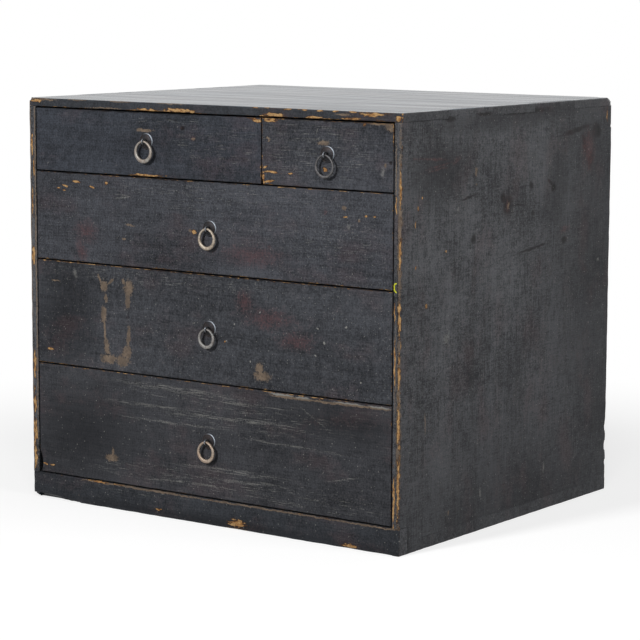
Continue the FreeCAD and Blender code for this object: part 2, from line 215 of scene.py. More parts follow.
def skin(wood, lines):
    """Points and quads between wood and air."""
    padded = np.pad(wood, 1)
    quads = []
    for axis in range(3):
        u, v = (axis + 1) % 3, (axis + 2) % 3
        inner = [slice(1, -1)] * 3
        before, after = list(inner), list(inner)
        before[axis], after[axis] = slice(0, -1), slice(1, None)
        here, beyond = padded[tuple(before)], padded[tuple(after)]
        step_u, step_v = np.eye(3, dtype=int)[u], np.eye(3, dtype=int)[v]
        for mask, order in ((here & ~beyond, 1), (~here & beyond, -1)):
            at = np.argwhere(mask)
            corners = [at, at + step_u, at + step_u + step_v, at + step_v][::order]
            quads.append(np.stack(corners, 1))
    quads = np.concatenate(quads)
    counts = [len(axis) for axis in lines]
    keys = (quads[..., 0] * counts[1] + quads[..., 1]) * counts[2] + quads[..., 2]
    used, quads = np.unique(keys, return_inverse=True)
    index = np.stack(np.unravel_index(used, counts), 1)
    points = np.stack([lines[axis][index[:, axis]] for axis in range(3)], 1)
    return points, quads.reshape(-1, 4)


def along_edge(edge, place):
    """How worn and how round, in mm, the edge is at each place along it."""
    worn = np.full(len(place), edge.worn)
    radius = np.full(len(place), edge.radius)
    for start, end, level, rounding in (Stretch(*s) for s in edge.stretches):
        soft = 2.0 if rounding is None else 9.0
        inside = np.clip(np.minimum(place / MM - start, end - place / MM) / soft + 1, 0, 1)
        worn = worn + (level - worn) * inside
        if rounding is not None:
            radius = radius + (rounding - radius) * inside * inside * (3 - 2 * inside)
    return worn, radius


def round_edge(points, box, faces, radius):
    """Rolls the points beside one edge onto a quarter round of this radius."""
    (a, end_a), (b, end_b) = faces
    sign_a, sign_b = (1, -1)[end_a], (1, -1)[end_b]
    in_a = (points[:, a] - box[end_a][a]) * sign_a
    in_b = (points[:, b] - box[end_b][b]) * sign_b
    off_a, off_b = in_a - radius, in_b - radius
    reach = np.hypot(off_a, off_b)
    outside = (off_a < 0) & (off_b < 0) & (reach > radius)
    scale = np.where(outside, radius / np.maximum(reach, 1e-9), 1)
    points[:, a] = np.where(outside, box[end_a][a] + (radius + off_a * scale) * sign_a, points[:, a])
    points[:, b] = np.where(outside, box[end_b][b] + (radius + off_b * scale) * sign_b, points[:, b])


def hollow_faces(points, start, box, depth, seed):
    """Lets the board's faces down by up to this depth, as a hand plane leaves them."""
    amount = depth * (0.5 + 0.5 * np.clip(ripple(start, 55 * MM, seed) * 1.6, -1, 1))
    for axis, end in FACES.values():
        flat = np.abs(start[:, axis] - box[end][axis]) < 1e-7
        points[flat, axis] += amount[flat] * (1, -1)[end]


def break_away(points, scoop, seed):
    """Pushes the points inside an ellipsoid out to its surface, into the wood."""
    middle, reach = np.array(scoop.at) * MM, np.array(scoop.reach) * MM
    off = (points - middle) / reach
    distance = np.linalg.norm(off, axis=1)
    inside = distance < 1
    rough = 1 + 0.12 * ripple(points[inside], 2 * MM, seed)
    reached = off[inside] / np.maximum(distance[inside], 1e-6)[:, None] * np.minimum(rough, 1)[:, None]
    further = np.maximum(1, distance[inside])[:, None]
    points[inside] = middle + reached * further * reach


def new_piece(node, ending, points, faces, body, material, rubbed=None, smooth_angle=50):
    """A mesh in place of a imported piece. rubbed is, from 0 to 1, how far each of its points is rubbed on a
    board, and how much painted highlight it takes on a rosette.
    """
    name = node + ending
    mesh = bpy.data.meshes.new(name)
    mesh.from_pydata([tuple(p) for p in points], [], [tuple(f) for f in faces])
    mesh.update()
    mesh.shade_smooth()
    mesh.set_sharp_from_angle(angle=math.radians(smooth_angle))
    mesh.materials.append(material)
    if rubbed is not None:
        mesh.attributes.new("rubbed", "FLOAT", "POINT").data.foreach_set("value", rubbed)
    piece = bpy.data.objects.new(name, mesh)
    bpy.context.scene.collection.objects.link(piece)
    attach(piece, body)
    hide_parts(node)


def board(node, body, material, holes=(), edges=None, plain=OUTER, scoops=(), reach=1.6):
    """A worn board in place of an imported one.

    edges holds what differs from a plain edge, by its name, and reach is how far in from the edges the wear
    goes, in mm.
    """
    wear = bpy.context.scene.tansu_wear
    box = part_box(node)
    edges = edges or {}
    seed = wear.seed + sum(map(ord, node)) % 97
    lines = []
    for axis in range(3):
        stops = [hole[end][axis] for hole in holes for end in (0, 1)]
        for scoop in scoops:
            stops += [(scoop.at[axis] + k * scoop.reach[axis]) * MM for k in SCOOP_STEPS]
        lines.append(lattice_lines(box[0][axis], box[1][axis], wear.spacing, stops))
    start, quads = skin(cells(lines, holes), lines)
    points = start.copy()
    rubbed = np.zeros(len(start))
    vary = 1 + wear.uneven * ripple(start, 11 * MM, seed)
    vary = vary + 0.5 * wear.uneven * ripple(start, 4 * MM, seed + 1)
    for name, along, first, second in box_edges():
        edge = edges.get(name, plain)
        worn, rounding = along_edge(edge, start[:, along])
        away = np.hypot(
            np.abs(start[:, first[0]] - box[first[1]][first[0]]),
            np.abs(start[:, second[0]] - box[second[1]][second[0]]),
        )
        rubbed = np.maximum(rubbed, worn * np.exp(-away / (reach * MM)))
        radius = np.maximum(0.05, rounding * vary + 0.6 * np.maximum(0, worn - edge.worn)) * MM
        round_edge(points, box, (first, second), radius)
    hollow_faces(points, start, box, wear.hollow, seed)
    for number, scoop in enumerate(scoops):
        break_away(points, scoop, seed + number)
    points = np.clip(points, np.array(box[0]), np.array(box[1]))
    new_piece(node, "_finished", points, quads, body, material, rubbed)


def box_corners(node):
    """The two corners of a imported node's box, as plain numbers."""
    return tuple(map(tuple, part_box(node)))


def union(*nodes):
    """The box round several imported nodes."""
    boxes = [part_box(node) for node in nodes]
    low = Vector(min(box[0][axis] for box in boxes) for axis in range(3))
    high = Vector(max(box[1][axis] for box in boxes) for axis in range(3))
    return low, high


# ---------------------------------------------------------------- finishes
Mark = namedtuple("Mark", "across up long tall turn", defaults=(0,))
"""A mark on a face: its middle, its half length and half height in mm, and its turn in degrees."""
# shade marks are painted shade, and some dark marks are painted shadow in gaps and in a chip's hollow; the
# other kinds are the lacquer's own wear, stains and dirt
MARK_KINDS = ("bare", "residue", "stain", "shade", "scuff", "dust", "fleck", "dark", "paint")
MARK_CORE = 0.62  # the share of a mark's cone that shows
MARK_DEPTH = 5 * MM  # how far before and behind its face a mark reaches

Plane = namedtuple("Plane", "across up place")
"""The two axes of the face that marks lie on, and the face's place along the third, in metres."""


class Nodes:
    """A tree of nodes in the making, with short ways to add nodes and to join them."""

    def __init__(self, tree):
        self.tree = tree
        self.tree.nodes.clear()

    def feed(self, socket, value):
        """Joins a socket to a node's output, or sets it to a plain value."""
        if isinstance(value, bpy.types.NodeSocket):
            self.tree.links.new(value, socket)
        else:
            socket.default_value = value

    def node(self, kind, inputs=(), **settings):
        """A new node with these inputs, by socket, and these settings."""
        made = self.tree.nodes.new(kind)
        for setting, value in settings.items():
            setattr(made, setting, value)
        for socket, value in dict(inputs).items():
            self.feed(made.inputs[socket], value)
        return made

    def math(self, operation, first, second=0.0):
        """One operation on two numbers."""
        return self.node("ShaderNodeMath", {0: first, 1: second}, operation=operation).outputs[0]

    def times(self, first, second):
        """One number times another."""
        return self.math("MULTIPLY", first, second)

    def most(self, first, second):
        """The larger of two numbers."""
        return self.math("MAXIMUM", first, second)

    def plus(self, base, part, share=1.0):
        """The base and a share of the other number."""
        inputs = {0: part, 1: share, 2: base}
        return self.node("ShaderNodeMath", inputs, operation="MULTIPLY_ADD").outputs[0]

    def watched(self):
        """1 for rays that the camera sees, be it straight, in a mirror or through glass."""
        rays = self.node("ShaderNodeLightPath").outputs
        direct = self.most(rays["Is Camera Ray"], rays["Is Glossy Ray"])
        return self.most(direct, rays["Is Transmission Ray"])

    def step(self, value, low, high):
        """0 below low, 1 above high, and smooth between."""
        inputs = {"Value": value, "From Min": low, "From Max": high}
        return self.node("ShaderNodeMapRange", inputs, interpolation_type="SMOOTHSTEP").outputs[0]

    def between(self, factor, low, high):
        """A number that goes from low to high with the factor."""
        return self.node("ShaderNodeMapRange", {"Value": factor, "To Min": low, "To Max": high}).outputs[0]

    def blend(self, factor, first, second):
        """A colour that goes from the first to the second with the factor."""
        node = self.node("ShaderNodeMix", data_type="RGBA")
        self.feed(node.inputs[0], factor)
        for socket, value in ((6, first), (7, second)):
            self.feed(node.inputs[socket], value if isinstance(value, bpy.types.NodeSocket) else (*value, 1))
        return node.outputs[2]

    def attribute(self, name):
        """A number that is stored at the mesh's points."""
        return self.node("ShaderNodeAttribute", attribute_name=name).outputs["Fac"]

    def faces_along(self, axis):
        """How far the surface faces along an axis, from -1 to 1."""
        normal = self.node("ShaderNodeNewGeometry").outputs["Normal"]
        return self.node("ShaderNodeSeparateXYZ", {0: normal}).outputs[axis]


class Finish(Nodes):
    """A material in the making: its surface, and the places and patterns that its nodes share."""

    def __init__(self, name):
        self.material = bpy.data.materials.new(name)
        self.material.use_nodes = True
        super().__init__(self.material.node_tree)
        self.output = self.node("ShaderNodeOutputMaterial")
        self.surface = self.node("ShaderNodeBsdfPrincipled")
        self.feed(self.output.inputs["Surface"], self.surface.outputs[0])

    def cover(self, tint, roughness, height, depth, strength):
        """Gives the surface its colour, its roughness and a relief of this depth in mm."""
        self.feed(self.surface.inputs["Base Color"], tint)
        self.feed(self.surface.inputs["Roughness"], roughness)
        inputs = {"Height": height, "Distance": depth * MM, "Strength": strength}
        self.feed(self.surface.inputs["Normal"], self.node("ShaderNodeBump", inputs).outputs["Normal"])

    # places
    def moved(self, operation, first, second):
        """One operation on two places."""
        return self.node("ShaderNodeVectorMath", {0: first, 1: second}, operation=operation).outputs[0]

    def place(self, seed=0):
        """Places on the piece in the chest's frame, in metres, moved along by a seed."""
        where = self.node("ShaderNodeTexCoord").outputs["Object"]
        return self.moved("ADD", where, (seed * 0.731, seed * 1.337, seed * 0.497)) if seed else where

    def scaled(self, where, sizes):
        """The places measured in features of this size, or of these sizes along X, Y and Z, in mm."""
        return self.moved("MULTIPLY", where, tuple(1 / (size * MM) for size in np.broadcast_to(sizes, 3)))

    def warp(self, where, size, amount):
        """The places pushed about by up to half this amount, in mm."""
        inputs = {"Vector": self.scaled(where, size), "Scale": 1.0, "Detail": 2.0}
        cloud = self.node("ShaderNodeTexNoise", inputs).outputs[1]
        push = self.moved("MULTIPLY", self.moved("SUBTRACT", cloud, (0.5,) * 3), (amount * MM,) * 3)
        return self.moved("ADD", where, push)

    def turned(self, where, degrees):
        """The places turned about all three axes, for scratches that cross the grain."""
        angles = (math.radians(degrees),) * 3
        return self.node("ShaderNodeMapping", {"Vector": where, "Rotation": angles}).outputs[0]

    # patterns
    def noise(self, where, sizes, detail=2.0, roughness=0.5, distortion=0.0):
        """A cloudy pattern with features of these sizes in mm."""
        inputs = {
            "Vector": self.scaled(where, sizes), "Scale": 1.0, "Detail": detail,
            "Roughness": roughness, "Distortion": distortion,
        }
        return self.node("ShaderNodeTexNoise", inputs).outputs[0]

    def specks(self, where, sizes, width, kept):
        """Separate specks, one to a cell of these sizes.

        width is a speck's share of its cell, and kept the share of the specks that show.
        """
        inputs = {"Vector": self.scaled(where, sizes), "Scale": 1.0, "Randomness": 1.0}
        cell = self.node("ShaderNodeTexVoronoi", inputs).outputs
        near = self.step(cell["Distance"], width, width * 0.4)
        return self.times(near, self.step(cell["Color"], 1 - kept, 1.15 - kept))

    def marks(self, where, marks, kind):
        """1 in the middle of each mark of this kind, falling to 0 at its rim."""
        field = 0.0
        for plane, numbers in [(plane, each) for plane, listed in marks for each in listed.get(kind, ())]:
            mark = Mark(*numbers)
            normal = 3 - plane.across - plane.up
            location, scale, rotation = [0.0] * 3, [0.0] * 3, [0.0] * 3
            location[plane.across], location[plane.up] = mark.across * MM, mark.up * MM
            location[normal] = plane.place
            scale[plane.across], scale[plane.up] = mark.long * MM / MARK_CORE, mark.tall * MM / MARK_CORE
            scale[normal] = MARK_DEPTH
            rotation[normal] = math.radians(mark.turn) * (-1 if normal == 1 else 1)
            inputs = {"Vector": where, "Location": location, "Rotation": rotation, "Scale": scale}
            local = self.node("ShaderNodeMapping", inputs, vector_type="TEXTURE").outputs[0]
            cone = self.node("ShaderNodeTexGradient", {"Vector": local}, gradient_type="SPHERICAL").outputs[1]
            field = cone if field == 0.0 else self.most(field, cone)
        return field


def by_grain(grain, along, across):
    """Feature sizes along X, Y and Z for grain that runs along one of them."""
    return tuple(along if axis == grain else across for axis in range(3))


def dimmed(colour, share):
    """A colour at a share of its brightness."""
    return tuple(share * channel for channel in colour)


Ends = namedtuple("Ends", "grain seed grey")
"""Grain, seed and grey of a board's faces across X, which are coated as the board beside them is."""
# the colour of the dark marks: dark spots, cracks and joints, and painted shadow
DARK_SPOT_AND_SHADOW = (0.004, 0.0035, 0.0035)  # linear red, green and blue
UPPER_GLOSS = 0.1  # the least roughness of faces that look up
UPPER_RELIEF = 0.03  # how much of the grain's relief they keep


class Lacquer(Finish):
    """Worn black lacquer over softwood, built up in layers. Each layer takes the colour below it.

    marks is pairs of a plane and the marks on it, and upper the grey of the faces that look up, where it
    differs from the others: faded lacquer whose blue is a painted reflection.
    """

    def __init__(self, name, grain, seed, marks, upper, ends):
        super().__init__(name)
        self.tints = bpy.context.scene.tansu_colours
        self.grain, self.upper, self.ends = grain, upper, ends
        self.where = self.place(seed)
        if ends:
            self.on_end = self.step(self.math("ABSOLUTE", self.faces_along(0)), 0.6, 0.8)
        if upper:
            self.looks_up = self.step(self.faces_along(2), 0.6, 0.9)
        self.streak = self.grained(150, 7, 4, 0.6)
        self.lines = self.grained(30, 0.9, 3, 0.65)
        self.cloud = self.grained(60, 32, 3, 0.55)
        self.mottle = self.noise(self.where, 1.7, 5, 0.8)
        self.chips = self.noise(self.where, by_grain(grain, 5.5, 2.0), 2, 0.5)
        self.patch = self.noise(self.where, 8, 4, 0.6)
        self.ragged = self.plus(self.plus(-1.1, self.patch, 0.8), self.mottle, 1.4)
        here = self.place()
        near = self.warp(here, 6, 3.0)
        self.field = {kind: self.marks(near, marks, kind) for kind in MARK_KINDS}
        self.field["scratch"] = self.marks(self.warp(here, 30, 3.0), marks, "scratch")

    def grained(self, along, across, *settings):
        """A pattern drawn out along the grain, which may run another way on the ends."""
        own = self.noise(self.where, by_grain(self.grain, along, across), *settings)
        if not self.ends:
            return own
        beside = self.noise(self.place(self.ends.seed), by_grain(self.ends.grain, along, across), *settings)
        return self.node("ShaderNodeMix", {0: self.on_end, 2: own, 3: beside}).outputs[0]

    def at(self, kind, ragged, low, high):
        """Where marks of a kind show, with their rims made ragged."""
        return self.step(self.plus(self.field[kind], self.ragged, ragged), low, high)

    def faded(self, grey, streaks, spread):
        """Black that has gone grey in streaks, hairs and clouds."""
        broad = self.noise(self.where, 80, 2, 0.5)
        hairs = self.noise(self.where, by_grain((self.grain + 2) % 3, 12, 0.7), 2, 0.6)
        tone = self.plus(self.times(self.lines, 0.2 * streaks), self.streak, 0.12 * streaks)
        shares = ((self.mottle, 0.92 - 0.32 * streaks), (self.patch, 0.2), (broad, 0.22), (hairs, 0.16))
        for pattern, share in shares:
            tone = self.plus(tone, pattern, share)
        # faces that look up take the top's grey, faded lacquer whose blue is a painted reflection
        if self.upper:
            grey = self.blend(self.looks_up, grey, self.upper)
        if self.ends:
            grey = self.blend(self.on_end, grey, self.ends.grey)
        return self.blend(self.step(tone, 0.75 - spread, 0.75 + spread), self.tints.lacquer, grey)

    def darkened(self, tint, blotches):
        """Painted shade from the shade marks, then dark spots, cracks, joints and painted shadow from the
        dark marks, and blotches.
        """
        # painted shade: darker towards the rear, the foot and the top of a face, with a few broad darker
        # patches
        tint = self.blend(self.times(self.at("shade", 0.5, 0.05, 1.0), 0.64), tint, self.tints.lacquer)
        # dark marks: dark spots, cracks and joints, and painted shadow in the gaps along the drawer fronts'
        # upper edges and in a chip's hollow
        dark = self.at("dark", 1.2, 0.35, 0.7)
        if blotches:
            blotch = self.plus(self.times(self.noise(self.where, 24, 4, 0.65), 0.8), self.patch, 0.6)
            dark = self.most(dark, self.times(self.step(blotch, 0.74, 0.92), blotches))
        return self.blend(self.times(dark, 0.85), tint, DARK_SPOT_AND_SHADOW)

    def reddened(self, tint):
        """Red undercoat that shows thinly all over and strongly in stains."""
        thin = self.times(self.step(self.plus(self.cloud, self.ragged, 0.5), 0.52, 0.72), 0.15)
        stained = self.times(self.at("stain", 1.6, 0.25, 1.1), self.between(self.mottle, -0.3, 1.3))
        return self.blend(self.most(thin, stained), tint, self.tints.reddish)

    def scratched(self, tint, wiped):
        """Wiped patches, scratches, specks and dust, all light."""
        wipes = self.noise(self.where, by_grain(self.grain, 15, 0.42), 2, 0.5)
        zone = self.step(self.plus(self.field["scuff"], self.patch, 0.8), 0.5, 1.0)
        anywhere = self.step(self.plus(self.cloud, self.patch, 0.5), 0.74, 0.95)
        zone = self.most(zone, self.times(anywhere, wiped))
        wipe = self.times(self.step(self.plus(wipes, self.mottle, 0.4), 0.8, 0.94), zone)
        broken = self.step(self.plus(wipes, self.mottle, 0.6), 0.78, 0.92)
        scratch = self.times(self.step(self.field["scratch"], 0.1, 0.6), broken)
        astray = self.warp(self.where, 2.2, 1.6)
        grit = self.specks(astray, 2.6, 0.2, 0.35)
        dashes = self.specks(self.turned(self.where, 35), (14, 3, 3), 0.13, 0.3)
        fine = self.times(self.most(grit, dashes), self.between(self.cloud, 0.1, 0.8))
        coarse = self.specks(astray, (5, 4.5, 4.5), 0.15, 0.5)
        coarse = self.times(coarse, self.between(self.patch, -0.2, 1.0))
        light = self.most(coarse, fine)
        dust = self.at("dust", 1.2, 0.2, 1.0)
        fleck = self.at("fleck", 0.5, 0.25, 0.6)
        for pattern, share in ((wipe, 0.42), (dust, 0.3), (scratch, 0.36), (fleck, 0.62)):
            light = self.most(light, self.times(pattern, share))
        return self.blend(light, tint, self.tints.scuff)

    def gummed(self, tint):
        """Beige remains of labels and glue, and where they are."""
        gum = self.at("residue", 1.1, 0.28, 0.55)
        dirty = dimmed(self.tints.residue, 0.5)
        beige = self.blend(self.step(self.patch, 0.3, 0.7), self.tints.residue, dirty)
        return self.blend(self.times(gum, self.between(self.mottle, 0.3, 1.1)), tint, beige), gum

    def rubbed_through(self, tint):
        """Bare wood with a brown rim, along rubbed edges and in bare marks, and where rim and wood are."""
        fray = self.plus(self.times(self.mottle, 0.6), self.chips, 1.2)
        fray = self.plus(fray, self.patch, 0.2)
        rubbed = self.math("MINIMUM", self.attribute("rubbed"), 0.62)
        worn = self.plus(fray, self.most(rubbed, self.math("MINIMUM", self.field["bare"], 0.74)))
        brown = self.step(worn, 1.38, 1.52)
        bare = self.step(worn, 1.5, 1.62)
        wood = self.blend(self.step(self.chips, 0.38, 0.62), self.tints.wood, self.tints.wood_pale)
        wood = self.blend(self.times(self.step(self.mottle, 0.46, 0.66), 0.8), wood, self.tints.undercoat)
        return self.blend(bare, self.blend(brown, tint, self.tints.undercoat), wood), brown, bare


def lacquer(name, grain, seed, marks=(), faded=None, upper=None, ends=None, wiped=0.4, gloss=0.3,
            level=0.07, blotches=0.0, streaks=1.0, spread=0.18):
    """The lacquer of one board.

    faded is its grey. wiped says how much is scratched, gloss is the least roughness, level how strongly it
    mirrors, blotches how dark its blotches are, streaks how much of its tone runs along the grain, and spread
    how softly dark goes over to grey.
    """
    f = Lacquer(name, grain, seed, marks, upper, ends)
    tint = f.faded(faded or f.tints.faded, streaks, spread)
    tint = f.darkened(tint, blotches)
    tint = f.reddened(tint)
    tint = f.scratched(tint, wiped)
    tint, gum = f.gummed(tint)
    tint, brown, bare = f.rubbed_through(tint)
    if any("paint" in listed for _, listed in marks):
        tint = f.blend(f.at("paint", 0.4, 0.3, 0.45), tint, f.tints.paint)
    sheen = f.plus(f.mottle, f.times(f.step(f.streak, 0.38, 0.62), streaks))
    rough = f.plus(f.between(f.looks_up, gloss, UPPER_GLOSS) if upper else gloss, sheen, 0.15)
    rough = f.most(rough, f.times(f.most(brown, gum), 0.78))
    height = f.plus(f.times(f.streak, 0.3), f.lines, 0.4)
    height = f.plus(f.plus(height, f.mottle, 0.4), bare, -0.35)
    if upper:
        height = f.times(height, f.between(f.looks_up, 1.0, UPPER_RELIEF))
    f.surface.inputs["Specular IOR Level"].default_value = level
    f.cover(tint, rough, height, 0.12, 0.8)
    return f.material


def softwood(name, grain, seed):
    """Plain old softwood inside the case and the drawers."""
    tints = bpy.context.scene.tansu_colours
    f = Finish(name)
    where = f.place(seed)
    rings = f.noise(where, by_grain(grain, 220, 7), 3, 0.5, 0.4)
    lines = f.noise(where, by_grain(grain, 60, 0.8), 3, 0.6)
    dust = f.noise(where, 30, 4, 0.6)
    tint = f.blend(f.step(rings, 0.35, 0.7), tints.softwood, tints.softwood_late)
    tint = f.blend(f.times(f.step(lines, 0.45, 0.75), 0.5), tint, tints.softwood_late)
    tint = f.blend(f.times(f.step(dust, 0.45, 0.75), 0.45), tint, seen(92, 72, 52))
    f.cover(tint, f.between(lines, 0.62, 0.85), f.plus(lines, rings), 0.12, 0.7)
    return f.material


def peg_wood():
    """End grain of the wooden pegs."""
    f = Finish("peg_wood")
    grain = f.noise(f.place(), 0.5, 3, 0.6)
    tint = f.blend(f.step(grain, 0.35, 0.7), bpy.context.scene.tansu_colours.peg, seen(86, 60, 36))
    f.cover(tint, f.between(grain, 0.6, 0.85), grain, 0.08, 0.6)
    return f.material


def forged_iron(name, tint, rust, seed, gloss=0.38, rim=None):
    """Hand-forged iron. rust says how much of it has turned brown, and rim is the colour of a painted
    highlight, laid on where the points' rubbed value says.
    """
    f = Finish(name)
    where = f.place(seed)
    scale = f.noise(where, 1.6, 4, 0.65)
    pits = f.noise(where, 0.5, 3, 0.6)
    patch = f.noise(where, 6, 3, 0.6)
    shade = f.blend(f.step(scale, 0.3, 0.7), dimmed(tint, 0.45), tint)
    rusty = f.times(f.step(f.plus(patch, pits, 0.3), 0.5, 0.8), rust)
    shade = f.blend(rusty, shade, bpy.context.scene.tansu_colours.rust)
    if rim:
        # painted highlight on the rosettes' rims
        shade = f.blend(f.attribute("rubbed"), shade, rim)
    f.surface.inputs["Metallic"].default_value = 0.75
    f.cover(shade, f.between(f.most(scale, rusty), gloss, gloss + 0.3), f.plus(scale, pits), 0.1, 0.8)
    return f.material


# ---------------------------------------------------------------- case
# Each board has a list of the edges that differ from a plain one, of its marks by kind, and of its scoops.
# Marks go by X and Z on the front, and by Y and Z on the right side.
TOP_EDGES = {
    "front_bottom": Edge(0.7, 0.42, ((-93, -50, 0.62), (-50, -8, 0.85), (63, 89, 0.9), (121, 203, 0.6))),
    "front_top": Edge(1.4, 0.34, ((-212, -190, 0.6), (-166, -150, 0.5), (50, 166, 0.46), (166, 203, 0.62))),
    "front_left": Edge(1.6, 0.75),
    "front_right": Edge(1.6, 0.75),
    "left_bottom": SEAM,
    "right_bottom": SEAM,
    "back_bottom": SEAM,
    "back_top": Edge(1.4, 0.3, ((203, 212, 0.2, 8.0),)),
    "back_right": Edge(4.2, 0.2),
}
TOP_MARKS = {
    "bare": (
        (56, 381.4, 4, 0.9), (68, 381.6, 3, 0.8), (92, 381.2, 6, 1.0), (110, 381.6, 4, 0.8),
        (126, 381.2, 5, 1.0), (143, 381.4, 4, 1.1), (160, 381.2, 5, 0.9), (-203, 379.2, 9, 1.5),
        (-68, 375.4, 18, 1.2), (-30, 376.0, 20, 1.9), (76, 376.0, 11, 2.2), (120, 375, 9, 1.2),
        (180, 379.8, 11, 2.2), (160, 375.4, 12, 1.4), (208.5, 377.4, 3.2, 2.8),
    ),
    "residue": (
        (-205, 381.4, 9, 0.8), (-150, 381.6, 12, 0.5), (-118, 374.8, 20, 0.6), (-60, 374.8, 30, 0.6),
        (150, 378.6, 8, 1.0), (-190, 380.4, 12, 1.0), (-100, 381.6, 14, 0.6), (-40, 381.4, 16, 0.6),
    ),
}
TOP_SCOOPS = (
    Scoop((-215, -9, 383.0), (5.2, 7.5, 4.2)),
    Scoop((-214.5, 2, 382.8), (4.2, 4.5, 3.2)),
    Scoop((217, 184, 387), (9, 20, 14)),
    Scoop((-214, -181.5, 384), (7, 7, 6)),
)

LEFT_EDGES = {
    "front_left": Edge(1.3, 0.45, ((24, 151, 0.6), (209, 250, 0.75), (317, 372, 0.6))),
    "front_right": Edge(0.5, 0.25),
    "left_bottom": Edge(1.6, 0.4),
    "left_top": OUTER,
    "front_top": SEAM,
    "right_top": SEAM,
    "right_bottom": SEAM,
    "back_right": SEAM,
}
LEFT_MARKS = {
    "bare": (
        (-208.8, 338, 1.4, 14), (-206.4, 316, 1.0, 10), (-208.4, 232, 2.0, 12), (-208.8, 282, 1.0, 14),
        (-208.4, 128, 2.2, 14), (-208.8, 92, 2.4, 14), (-209.0, 62, 2.8, 16), (-208.8, 38, 2.4, 12),
    ),
    "residue": (
        (-205.2, 334, 0.9, 50), (-210.8, 344, 0.9, 40), (-205.2, 210, 0.8, 160), (-210.8, 250, 0.7, 110),
    ),
}
LEFT_SCOOPS = (Scoop((-214, -182, -4), (14, 34, 8.8)),)

RIGHT_EDGES = {
    "front_right": Edge(1.3, 0.42, ((60, 110, 0.56), (180, 215, 0.54), (300, 351, 0.5))),
    "front_left": Edge(0.5, 0.3, ((24, 72, 0.5), (296, 308, 0.5))),
    "right_bottom": Edge(1.6, 0.3),
    "right_top": OUTER,
    "back_right": Edge(1.6, 0.2, ((350, 372, 0.45), (222, 230, 0.6))),
    "front_top": SEAM,
    "left_top": SEAM,
    "left_bottom": SEAM,
    "back_left": SEAM,
}
RIGHT_FRONT_MARKS = {
    "bare": (
        (205.8, 48, 1.2, 28), (205.6, 170, 0.9, 22), (205.5, 214, 0.8, 12), (206.0, 303, 0.8, 9),
        (210.2, 60, 1.6, 34), (210.1, 112, 1.7, 22), (210.2, 160, 1.5, 20), (210.2, 208, 1.6, 20),
        (210.4, 262, 1.2, 20), (210.4, 318, 1.1, 20),
    ),
    "residue": ((210.0, 110, 2.0, 96), (210.0, 285, 1.9, 80), (205.8, 330, 0.6, 30), (206.0, 160, 0.5, 40)),
    "dark": ((208.2, 190, 0.4, 150),),
    "paint": ((204.9, 233.4, 0.8, 2.7), (206.1, 236.4, 1.5, 0.8, 35), (206.0, 230.6, 1.3, 0.8, -40)),
}
RIGHT_FACE_MARKS = {
    "bare": (
        (-148.7, 308.5, 1.3, 1.6), (-154.7, 300, 1.2, 2.6), (-158.4, 286, 1.0, 3), (-157.7, 249, 1.0, 2),
        (-140.8, 214, 1.6, 2.8), (-110, 259, 1.8, 1.0, 20), (170, 365, 1.0, 9),
    ),
    "residue": (
        (-7.8, 291.6, 1.6, 3, -25), (-62.7, 325.5, 1.8, 4.2), (-62, 314, 1.6, 0.8),
        (-140.6, 111.3, 0.6, 9.8, 2), (-102, 25.4, 1.0, 2),
    ),
    "stain": (
        (-9, 291.5, 4, 6, 10), (-134, 340.6, 34, 1.2, -4), (-118, 334.6, 26, 1.2, 7),
        (-126, 331, 22, 1.0, 5), (-95, 337, 8, 3, 25), (136, 334, 13, 20, 8), (93, 262, 12, 4, 10),
    ),
    # painted shade: darker towards the rear, the foot and under the top edge, with a few broad darker patches
    "shade": (
        (170, 190, 110, 330, 4), (30, 0, 330, 110, 3), (20, 372, 180, 12, 2), (-120, 330, 50, 26, 12),
        (80, 300, 30, 60, -12), (134, 342, 34, 36),
    ),
    "dust": (
        (-107.6, 181.4, 5.6, 5.3), (62, 40, 1.4, 8), (-49, 34, 1.6, 7, 10), (157, 228, 3, 2),
        (-91.4, 294.7, 1.6, 2.4),
    ),
    "dark": (
        (-9, 292, 9, 10, 10), (-17, 299, 6, 5, -40), (150, 352, 10, 9, 20), (128, 340, 4, 12, 20),
        (140, 325, 6, 9, -20), (112, 354, 30, 3, 8), (-66, 266, 5, 4, 30), (72, 303, 5, 5),
        (66, 308, 7, 2, -30), (32, 307, 4, 5, 20), (35, 282, 2.7, 2.8), (92, 252, 5, 4),
        (33, 249, 34, 1.4, 6), (-73, 304, 19, 1.0, 10), (10, 291, 14, 1.0), (16, 375.5, 60, 3),
        (-105, 374, 12, 3), (-150, 376, 14, 3), (-50, 376, 18, 2), (-106, 19, 0.9, 6),
    ),
}
# A strip split off the top of the rear edge with a deeper bite in it, and four bites out of its lower end.
RIGHT_SCOOPS = (
    Scoop((213.5, 181, 372), (3.5, 3.9, 60)),
    Scoop((214.0, 181.2, 355), (4.6, 5.0, 2.8)),
    Scoop((214.2, 181.4, 63), (5.2, 5.8, 9)),
    Scoop((214.2, 181.5, 44), (5.4, 6.0, 9)),
    Scoop((214.2, 181.7, 27), (4.6, 5.0, 6)),
    Scoop((214.4, 181.8, 14), (4.2, 4.4, 4)),
)

